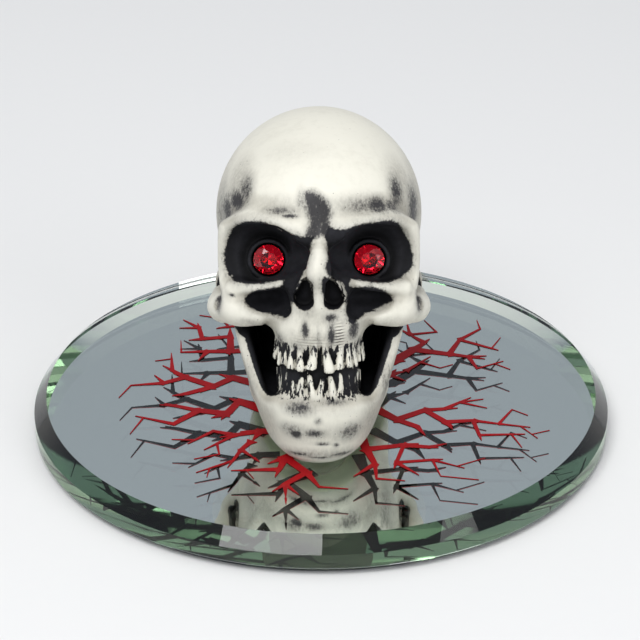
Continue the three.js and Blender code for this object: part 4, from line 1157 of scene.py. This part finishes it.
class Skin:
    """The casting's vertices, and where each paint and the painted shade lie on them as numbers from 0 to 1.
    """

    def __init__(self, sculpt, points):
        self.sculpt = sculpt
        self.points = points
        slope = sculpt.slope(points)
        self.normals = slope / np.maximum(np.linalg.norm(slope, axis=1, keepdims=True), TINY)
        self.head = sculpt.head_frame(points)
        self.depth = sum(self.shut_in(reach) for reach in DEPTH_REACHES) / len(DEPTH_REACHES)
        slope_in_head = PAINT_SLOPE - HEAD_TILT
        up = self.head[:, 1] * math.sin(slope_in_head) + self.head[:, 2] * math.cos(slope_in_head)
        foot, top = OUTLINED_HEIGHTS
        self.places = np.stack([self.head[:, 0], up], 1)
        self.front = (self.head[:, 1] < OUTLINED_FRONT) & (up > foot) & (up < top)

    def shut_in(self, reach):
        """How much of the way outwards other parts of the form take up."""
        ahead = self.sculpt.field(self.points + self.normals * reach)
        return np.clip(1 - ahead / reach, 0, 1)

    def outlined(self, outlines, edge, middle):
        """How far each vertex of the face is inside the nearest outline, over a soft edge."""
        cover = np.zeros(len(self.places))
        for outline in outlines:
            inside = middle - outline_distance(outline, self.places[self.front]) / edge
            cover[self.front] = np.maximum(cover[self.front], inside)
        return np.clip(cover, 0, 1)

    def ink(self):
        """Black by outline on the face, by form elsewhere, and none on the temples and the neck."""
        across, back, height = self.head.T
        ink = self.sculpt.ink(self.points)
        painted = self.outlined(PAINTED_OUTLINES, PAINT_EDGE, PAINT_MIDDLE)
        facing = self.normals[:, 2] * math.sin(PAINT_SLOPE) - self.normals[:, 1] * math.cos(PAINT_SLOPE)
        unseen = (np.maximum(painted, ink) - painted) * ramp(facing, *TURNED_AWAY)
        ink = np.where(self.front, painted + unseen, ink)
        mouth = (height < MOUTH_TOP) & (back < MOUTH_BACK)
        ink = np.where(mouth, np.maximum(ink, ramp(self.depth, *MOUTH_DEPTHS)), ink)
        neck = ramp(self.points[:, 1], *NECK_PLACES) * ramp(self.depth, *NECK_DEPTHS)
        outward = self.normals[:, 0] * np.sign(across)
        temple = ramp(outward, *TEMPLE_TURNS) * (np.abs(across) > TEMPLE_SIDE) * (height > TEMPLE_FOOT)
        return ink * (1 - neck) * (1 - temple)

    def smudge(self):
        splashed = self.outlined(PAINTED_OUTLINES, SPLASH_EDGE, SPLASH_MIDDLE)
        marked = self.outlined([BROW_MARK], MARK_EDGE, MARK_MIDDLE)
        strengths = [spots(SMUDGES, self.head), marked * MARK_STRENGTH, splashed * SPLASH_STRENGTH]
        return np.maximum.reduce(strengths)

    def strands(self):
        """Dry streaks down the teeth."""
        across, back, height = self.head.T
        rows = ramp(height, *STRAND_TOPS) * ramp(height, *STRAND_FEET)
        return rows * ramp(np.abs(across), *STRAND_SIDES) * (back < STRAND_BACK)

    def crease(self):
        """Where the wash stays and where shade is painted: in narrow grooves most, and in deep hollows."""
        narrow = sum(self.shut_in(reach) * weight for reach, weight in CREASE_WEIGHTS)
        return np.clip(narrow + self.depth * CREASE_DEPTH_WEIGHT - CREASE_START, 0, 1)

    def masks(self):
        return {
            "ink": self.ink(),
            "smudge": self.smudge(),
            "haze": spots(HAZES_AND_SHADE, self.head),
            "strands": self.strands(),
            "crease": self.crease(),
            "ribs": spots(RIBS, self.head),
            "foot": (self.points[:, 2] < GLUE_HEIGHT + FOOT_BAND).astype(float),
        }


# The box of the grid: its reach from the head's middle as shares of half the head, the room ahead
# of the chin, and the steps under the foot
GRID_SHARES = (1.16, 1.08, 1.1)
CHIN_ROOM = 2.0
STEPS_BELOW = 2


class SKULL_OT_casting(bpy.types.Operator):
    """Makes the painted resin skull with its teeth and jaw"""
    bl_idname = "skull.casting"
    bl_label = "Skull casting"

    def execute(self, context):
        settings = settings_of(context, "casting")
        half = np.array(settings.head_size) / MM / 2
        step = settings.grid_step / MM * 1
        sculpt = Sculpt(half)
        side, back, top = half * GRID_SHARES
        low = np.array([-side, -CHIN_REACH - CHIN_ROOM, -STEPS_BELOW * step])
        high = np.array([side, HEAD_SETBACK + back, HEAD_RISE + top])
        values = sampled(sculpt.field, low, high, step)
        untangle(values, step)
        points, quads = traced(values, low, step)
        points = settled(sculpt, points, step)

        mesh = bpy.data.meshes.new("skull_casting")
        placed = (points + (SKULL_AXIS / MM, 0, GLASS_HIGH.z / MM)) * MM
        mesh.from_pydata(placed.tolist(), [], quads.tolist())
        for name, mask in Skin(sculpt, points).masks().items():
            mesh.attributes.new(name, "FLOAT", "POINT").data.foreach_set("value", mask)
        mesh.shade_smooth()
        add_piece("painted_skull", mesh, painted_resin(settings), "painted_resin", "skull_casting")
        return {"FINISHED"}


class SKULL_OT_stones(bpy.types.Operator):
    """Gives the stones, their foils and all the glue their finishes"""
    bl_idname = "skull.stones"
    bl_label = "Eye stones"

    def execute(self, context):
        settings = settings_of(context, "stones")
        dress(red_stone(settings), "eye_stone_left", "eye_stone_right")
        dress(stone_foil(settings), "stone_foil_left", "stone_foil_right")
        dress(clear_glue(settings), "stone_glue_left", "stone_glue_right", "skull_glue", "felt_adhesive")
        return {"FINISHED"}


# Mirror plate: each round layer is one circle that is raised, then raised again as it narrows

PLATE_INPUTS = {
    "Radius": "NodeSocketFloat", "Bottom": "NodeSocketFloat", "Straight Height": "NodeSocketFloat",
    "Bevel Width": "NodeSocketFloat", "Bevel Drop": "NodeSocketFloat", "Segments": "NodeSocketInt",
    "Material": "NodeSocketMaterial",
}
WELD = 1e-6
SHARP_ANGLE = math.radians(20)
SILVER_EDGE_SHARE = 1 / 4
FELT_EDGE_SHARE = 1 / 3


class Recipe(Nodes):
    """A geometry node tree with named inputs."""

    def __init__(self, name, inputs):
        tree = bpy.data.node_groups.new(name, "GeometryNodeTree")
        super().__init__(tree)
        self.sockets = {}
        for label, kind in inputs.items():
            self.sockets[label] = tree.interface.new_socket(label, in_out="INPUT", socket_type=kind)
        tree.interface.new_socket("Geometry", in_out="OUTPUT", socket_type="NodeSocketGeometry")
        self.entry = tree.nodes.new("NodeGroupInput")

    def input(self, label):
        return Wire(self, self.entry.outputs[label])

    def finish(self, geometry):
        real = self.node("GeometryNodeRealizeInstances", None, {"Geometry": geometry})
        sockets = {"Geometry": real, "Material": self.input("Material")}
        coated = self.node("GeometryNodeSetMaterial", None, sockets)
        self.node("NodeGroupOutput", None, {0: coated})

    def mesh(self, **values):
        """The tree's result, as a plain mesh, for these inputs."""
        holder = add_object("holder", bpy.data.meshes.new("holder"))
        modifier = holder.modifiers.new(self.tree.name, "NODES")
        modifier.node_group = self.tree
        for label, value in values.items():
            modifier[self.sockets[label.replace("_", " ")].identifier] = value
        graph = bpy.context.evaluated_depsgraph_get()
        made = bpy.data.meshes.new_from_object(holder.evaluated_get(graph), depsgraph=graph)
        bpy.data.objects.remove(holder)
        return made


def plate_recipe():
    recipe = Recipe("round_plate", PLATE_INPUTS)
    radius = recipe.input("Radius")
    circle = recipe.node("GeometryNodeMeshCircle", {"fill_type": "NGON"},
                         {"Vertices": recipe.input("Segments"), "Radius": radius})

    def raised(mesh, height, selection=True):
        settings = {"mode": "FACES"}
        sockets = {"Mesh": mesh, "Selection": selection, "Offset Scale": height, "Individual": False}
        solid = recipe.node("GeometryNodeExtrudeMesh", settings, sockets)
        return solid, Wire(recipe, solid.socket.node.outputs["Top"])

    straight, top = raised(circle, recipe.input("Straight Height"))
    bevelled, rim = raised(straight, recipe.input("Bevel Drop"), top)
    narrowing = 1 - recipe.input("Bevel Width").maths("DIVIDE", recipe.input("Bevel Width"), radius)
    narrowed = recipe.node("GeometryNodeScaleElements", {"domain": "FACE"},
                           {"Geometry": bevelled, "Selection": rim, "Scale": narrowing})
    underside = recipe.node("GeometryNodeFlipFaces", None, {"Mesh": circle})
    joined = recipe.node("GeometryNodeJoinGeometry")
    for part in (underside, narrowed):
        recipe.tree.links.new(part.socket, joined.socket.node.inputs[0])
    closed = recipe.node("GeometryNodeMergeByDistance", None, {"Geometry": joined, "Distance": WELD})
    lift = recipe.node("ShaderNodeCombineXYZ", None, {"Z": recipe.input("Bottom")})
    recipe.finish(recipe.node("GeometryNodeTransform", None, {"Geometry": closed, "Translation": lift}))
    return recipe


class SKULL_OT_plate(bpy.types.Operator):
    """Makes the bevelled mirror and the layers under it"""
    bl_idname = "skull.plate"
    bl_label = "Mirror plate"

    def execute(self, context):
        settings = settings_of(context, "plate")
        recipe = plate_recipe()

        def layer(name, low, high, bevel, material, slot, node):
            mesh = recipe.mesh(
                Radius=(high.x - low.x) / 2, Bottom=low.z, Straight_Height=high.z - low.z - bevel[1],
                Bevel_Width=bevel[0], Bevel_Drop=bevel[1], Segments=settings.segments, Material=material)
            mesh.shade_smooth()
            mesh.set_sharp_from_angle(angle=SHARP_ANGLE)
            add_piece(name, mesh, material, slot, node)

        sealed = GLASS_LOW - Vector((0, 0, settings.seal))
        layer("bevelled_glass", sealed, GLASS_HIGH, (settings.bevel_width, settings.bevel_drop),
              clear_glass(settings), "clear_glass", "mirror_glass")
        edge = (SILVER_HIGH.z - SILVER_LOW.z) * SILVER_EDGE_SHARE
        layer("silver_layer", SILVER_LOW, SILVER_HIGH, (edge, edge), mirror_silver(settings),
              "silvering", "mirror_silvering")
        edge = (FELT_HIGH.z - FELT_LOW.z) * FELT_EDGE_SHARE
        layer("felt_pad", FELT_LOW, FELT_HIGH, (edge, edge), felt(settings), "felt", "felt_base")
        dress(backing_paint(settings), "mirror_backing_paint")
        return {"FINISHED"}


# Crack print: cracks start under the skull's edge and grow outwards segment by segment. They turn
# left and right, keep clear of one another, overshoot their bends in thorns and end in points.
# Places are complex numbers, x + yi, in millimetres.

START_RADII = (9.0, 18.5)
START_SETBACK = -2.0
STEP_LENGTHS = (3.0, 6.2)
TURNS = (0.4, 1.05)
FORK_TURNS = (0.7, 1.25)
FORK_CHANCES = (0.7, 0.28, 0.0)
FORK_SHARES = (0.45, 0.95)
THORN_CHANCE = 0.6
THORN_LENGTHS = (1.0, 2.6)
CLEARANCES = (3.7, 3.1, 2.7)
TRIES = 14
WEB_LENGTH = 0.9
WEB_FLARE = 1.7
WEB_SHARE = 0.85
TAPER_POWER = 0.75
LEVEL_SHORTENING = 0.1
TRY_SHORTENING = 0.4
HEADING_SHARE = 0.3
LAST_FORK_SHARE = 0.85
LEAST_TRAVEL = 3.5
FORK_WIDTH_SHARE = 0.75
LEAST_FORK_WIDTH = 0.42
THORN_ROOT_SHARE = 0.4
THORN_WIDTH_SHARE = 0.85
TRUNK_PLACES = (0.1, 0.4)
TRUNK_CROWDING = 0.18
TRUNK_SPREAD_POWER = 0.7
TRUNK_TRAVELS = (0.95, 1.2)
TRUNK_WIDTHS = (0.7, 1.15)


def gap(place, a, b):
    """Distance from a place to the segment from a to b."""
    along = b - a
    t = ((place - a) * along.conjugate()).real / abs(along) ** 2
    return abs(place - a - min(max(t, 0), 1) * along)


def side_of(place, a, b):
    return ((place - a) * (b - a).conjugate()).imag


def crossing(a, b, c, d):
    return side_of(a, c, d) * side_of(b, c, d) < 0 and side_of(c, a, b) * side_of(d, a, b) < 0


class Crack:
    """One crack: the path that it has grown, and where it heads."""

    def __init__(self, start, heading, width, travel, level, side):
        self.places = [start]
        self.widths = [width]
        self.heading = heading
        self.travel = travel
        self.level = level
        self.side = side
        self.gone = 0


class CrackPrint:
    """Grows the cracks, and covers them with quads."""

    def __init__(self, settings):
        self.random = random.Random(settings.seed)
        self.count = settings.cracks
        self.reach = settings.reach / MM
        self.root = settings.root_width / MM
        self.tip = settings.tip_width / MM
        self.segments, self.forks, self.quads = [], [], []

    def between(self, bounds):
        return self.random.uniform(*bounds)

    def strip(self, places, widths):
        """A band along the places. Each quad shares its ends with the next."""
        sides = []
        for index, place in enumerate(places):
            along = places[min(index + 1, len(places) - 1)] - places[max(index - 1, 0)]
            across = along / abs(along) * 1j * widths[index] / 2
            sides.append((place - across, place + across))
        for (a, b), (c, d) in zip(sides, sides[1:]):
            self.quads.append([Vector((corner.real, corner.imag)) for corner in (a, c, d, b)])

    def room(self, start, end, clearance):
        """Whether a segment stays within reach and clear of those that it doesn't start from."""
        if abs(end) > self.reach:
            return False
        for a, b in self.segments:
            if start in (a, b):
                continue
            nearest = min(gap(end, a, b), gap(a, start, end), gap(b, start, end))
            if crossing(start, end, a, b) or nearest < clearance:
                return False
        return True

    def next_place(self, crack):
        """A free place for the next bend, if there is one.

        Later tries turn less and then the other way, and reach less far.
        """
        start = crack.places[-1]
        for attempt in range(TRIES):
            yielding = attempt / TRIES
            direction = crack.heading + crack.side * self.between(TURNS) * (1 - 2 * yielding)
            step = self.between(STEP_LENGTHS) * (1 - LEVEL_SHORTENING * crack.level)
            end = start + cmath.rect(step * (1 - TRY_SHORTENING * yielding), direction)
            if self.room(start, end, CLEARANCES[crack.level]):
                return end
        return None

    def extended(self, crack):
        """Adds one segment, and says whether the crack grows on."""
        start, end = crack.places[-1], self.next_place(crack)
        if end is None:
            return False
        if len(crack.places) > 1 and self.random.random() < THORN_CHANCE:
            self.thorn(crack)
        self.segments.append((start, end))
        crack.gone += abs(end - start)
        share = min(crack.gone / crack.travel, 1)
        crack.places.append(end)
        crack.widths.append(self.tip + (crack.widths[0] - self.tip) * (1 - share) ** TAPER_POWER)
        crack.side = -crack.side
        outwards = math.remainder(cmath.phase(end) - crack.heading, 2 * math.pi)
        crack.heading += outwards * HEADING_SHARE
        if share < LAST_FORK_SHARE and self.random.random() < FORK_CHANCES[crack.level]:
            self.fork(crack)
        return share < 1

    def fork(self, crack):
        """Starts a narrower crack where this one bends."""
        heading = crack.heading - crack.side * self.between(FORK_TURNS)
        travel = max((crack.travel - crack.gone) * self.between(FORK_SHARES), LEAST_TRAVEL)
        width = max(crack.widths[-1] * FORK_WIDTH_SHARE, LEAST_FORK_WIDTH)
        self.forks.append(Crack(crack.places[-1], heading, width, travel, crack.level + 1, crack.side))

    def thorn(self, crack):
        """Lets the last segment overshoot the bend at its end."""
        before, place = crack.places[-2:]
        along = (place - before) / abs(place - before)
        root = crack.widths[-1] * THORN_ROOT_SHARE
        length = self.between(THORN_LENGTHS)
        ends = [place - along * root, place + along * (length + root)]
        self.strip(ends, [crack.widths[-1] * THORN_WIDTH_SHARE, self.tip])

    def trace(self, crack):
        """Covers a crack that has stopped growing. A fork gets a web where it starts."""
        places, widths = crack.places, crack.widths
        if len(places) == 1:
            places.append(places[0] + cmath.rect(self.between(THORN_LENGTHS) + widths[0] / 2, crack.heading))
            widths.append(self.tip)
        elif crack.level:
            first = places[1] - places[0]
            places.insert(1, places[0] + first / abs(first) * WEB_LENGTH)
            widths.insert(1, widths[0] * WEB_SHARE)
            widths[0] *= WEB_FLARE
        widths[-1] = self.tip
        self.strip(places, widths)

    def trunk(self, index):
        """A main crack, whose start is on an oval under the skull."""
        around = (index + self.between(TRUNK_PLACES)) * 2 * math.pi / self.count
        around -= TRUNK_CROWDING * math.sin(2 * around)
        across, along = START_RADII
        start = complex(across * math.cos(around) + SKULL_AXIS / MM, along * math.sin(around) + START_SETBACK)
        heading = math.atan2(math.sin(around) / along ** TRUNK_SPREAD_POWER,
                             math.cos(around) / across ** TRUNK_SPREAD_POWER)
        travel = (self.reach - abs(start)) * self.between(TRUNK_TRAVELS)
        width = self.root * self.between(TRUNK_WIDTHS)
        return Crack(start, heading, width, travel, 0, self.random.choice((-1, 1)))

    def draw(self):
        made = []
        self.forks = [self.trunk(index) for index in range(self.count)]
        while self.forks:
            growing, self.forks = self.forks, []
            made += growing
            while growing:
                growing = [crack for crack in growing if self.extended(crack)]
        for crack in made:
            self.trace(crack)
        return self.quads


INSIDE_ONLY = 1
SAME_PLACE = 1e-4
INK_SINK_SHARE = 0.1


def united(quads):
    """Triangles of the union of the quads, all facing up."""
    corners, faces = [], []
    for quad in quads:
        area = sum(a.cross(b) for a, b in zip(quad, quad[1:] + quad[:1]))
        ring = quad if area > 0 else quad[::-1]
        faces.append(list(range(len(corners), len(corners) + len(ring))))
        corners.extend(ring)
    points, _, triangles, _, _, sources = delaunay_2d_cdt(corners, [], faces, INSIDE_ONLY, SAME_PLACE, True)
    kept = [tuple(triangle) for triangle, source in zip(triangles, sources) if source]
    return points, kept


def film(points, triangles, low, high):
    """The flat shape given a thickness, with walls along its edges."""
    count = len(points)
    directed = {(a, b) for face in triangles for a, b in zip(face, face[1:] + face[:1])}
    walls = [(a, b, b + count, a + count) for a, b in directed if (b, a) not in directed]
    faces = [tuple(reversed(face)) for face in triangles]
    faces += [tuple(corner + count for corner in face) for face in triangles]
    vertices = [(point.x * MM, point.y * MM, height) for height in (low, high) for point in points]
    mesh = bpy.data.meshes.new("film")
    mesh.from_pydata(vertices, [], faces + sorted(walls))
    mesh.validate()
    return mesh


class SKULL_OT_print(bpy.types.Operator):
    """Makes the crack print: red ink over black ink"""
    bl_idname = "skull.print"
    bl_label = "Crack print"

    def execute(self, context):
        settings = settings_of(context, "print")
        points, triangles = united(CrackPrint(settings).draw())
        sink = (PRINT_HIGH.z - PRINT_LOW.z) * INK_SINK_SHARE
        add_piece("black_underprint", film(points, triangles, PRINT_LOW.z - sink, PRINT_HIGH.z),
                  black_ink(settings), "black_ink", "crack_underprint_black")
        add_piece("red_print", film(points, triangles, RED_LOW.z, RED_HIGH.z),
                  red_ink(settings), "red_ink", "crack_print_red")
        return {"FINISHED"}


# Stage

SKY = [
    (0.0, (0.62, 0.62, 0.62)),
    (0.25, (0.325, 0.352, 0.405)),
    (0.62, (0.365, 0.392, 0.445)),
    (0.82, (0.80, 0.80, 0.80)),
    (1.0, (0.95, 0.95, 0.95)),
]

FLOOR_SIDES = 64
MOST_BOUNCES = 24
MOST_GLASS_BOUNCES = 20

# Soft lamps, all aimed at one place: name, place in metres, side in metres, power in watts
LAMP_AIM = Vector((0, 0, 0.03))
LAMPS = [
    ("key", (-0.20, -0.50, 0.72), 0.5, 4.9),
    ("fill", (0.50, -0.50, 0.30), 0.45, 1.3),
]


def world_light():
    """A sky that is pale at the horizon, grey-blue above it and white overhead."""
    world = bpy.data.worlds.new("studio")
    world.use_nodes = True
    nodes = Nodes(world.node_tree)
    up = nodes.node("ShaderNodeSeparateXYZ", None, {0: nodes.node("ShaderNodeTexCoord", out=0)}, out=2)
    sky = nodes.node("ShaderNodeValToRGB", {"stops": SKY}, {0: up})
    light = nodes.node("ShaderNodeBackground", None, {"Color": sky, "Strength": 1.0})
    nodes.node("ShaderNodeOutputWorld", None, {"Surface": light})
    return world


def floor_finish(settings):
    colours = (settings.floor, (0.79, 0.79, 0.785))
    return clouded("floor", colours, grain=2.5, detail=3, roughness=0.85)


def add_floor(settings):
    angles = np.linspace(0, 2 * math.pi, FLOOR_SIDES, endpoint=False)
    rim = [(settings.floor_radius * math.cos(angle), settings.floor_radius * math.sin(angle), 0)
           for angle in angles]
    mesh = bpy.data.meshes.new("floor")
    mesh.from_pydata(rim, [], [tuple(range(len(rim)))])
    mesh.materials.append(floor_finish(settings))
    add_object("floor", mesh)


def add_lamp(name, place, side, power):
    """A square lamp that is aimed at the skull and isn't seen itself."""
    lamp = bpy.data.lights.new(name, "AREA")
    lamp.shape = "SQUARE"
    lamp.size = side
    lamp.energy = power
    held = add_object(name, lamp)
    held.location = place
    held.rotation_euler = (LAMP_AIM - Vector(place)).to_track_quat("-Z", "Y").to_euler()
    held.visible_camera = False


def add_camera(scene, settings):
    lens = bpy.data.cameras.new("camera")
    lens.lens = settings.lens
    camera = add_object("camera", lens)
    camera.location = settings.camera_place
    camera.rotation_euler = (math.pi / 2 - settings.camera_pitch, 0, 0)
    scene.camera = camera


class SKULL_OT_stage(bpy.types.Operator):
    """Sets up the floor, the lamps and the camera"""
    bl_idname = "skull.stage"
    bl_label = "Stage"

    def execute(self, context):
        settings = settings_of(context, "stage")
        scene = context.scene
        scene.world = world_light()
        scene.view_settings.view_transform = "Standard"
        scene.cycles.max_bounces = MOST_BOUNCES
        scene.cycles.glossy_bounces = MOST_GLASS_BOUNCES
        scene.cycles.transmission_bounces = MOST_GLASS_BOUNCES
        add_floor(settings)
        for lamp in LAMPS:
            add_lamp(*lamp)
        add_camera(scene, settings)
        return {"FINISHED"}


class SKULL_PT_panel(bpy.types.Panel):
    """The pieces of the decoration in the order in which they are made"""
    bl_label = "Skull"
    bl_idname = "SKULL_PT_panel"
    bl_space_type = "VIEW_3D"
    bl_region_type = "UI"
    bl_category = "Skull"

    def draw(self, context):
        for operator in OPERATORS:
            self.layout.operator(operator.bl_idname)


SETTINGS = {
    "casting": CastingSettings, "stones": StoneSettings, "plate": PlateSettings,
    "print": PrintSettings, "stage": StageSettings,
}
OPERATORS = [SKULL_OT_casting, SKULL_OT_stones, SKULL_OT_plate, SKULL_OT_print, SKULL_OT_stage]
CLASSES = [*SETTINGS.values(), *OPERATORS, SKULL_PT_panel]


def register():
    for cls in CLASSES:
        bpy.utils.register_class(cls)
    for name, group in SETTINGS.items():
        setattr(bpy.types.Scene, "skull_" + name, PointerProperty(type=group))


def unregister():
    for name in SETTINGS:
        delattr(bpy.types.Scene, "skull_" + name)
    for cls in reversed(CLASSES):
        bpy.utils.unregister_class(cls)


def main():
    register()
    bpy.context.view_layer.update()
    bpy.ops.skull.casting()
    bpy.ops.skull.stones()
    bpy.ops.skull.plate()
    bpy.ops.skull.print()
    bpy.ops.skull.stage()


if __name__ == "__main__":
    main()
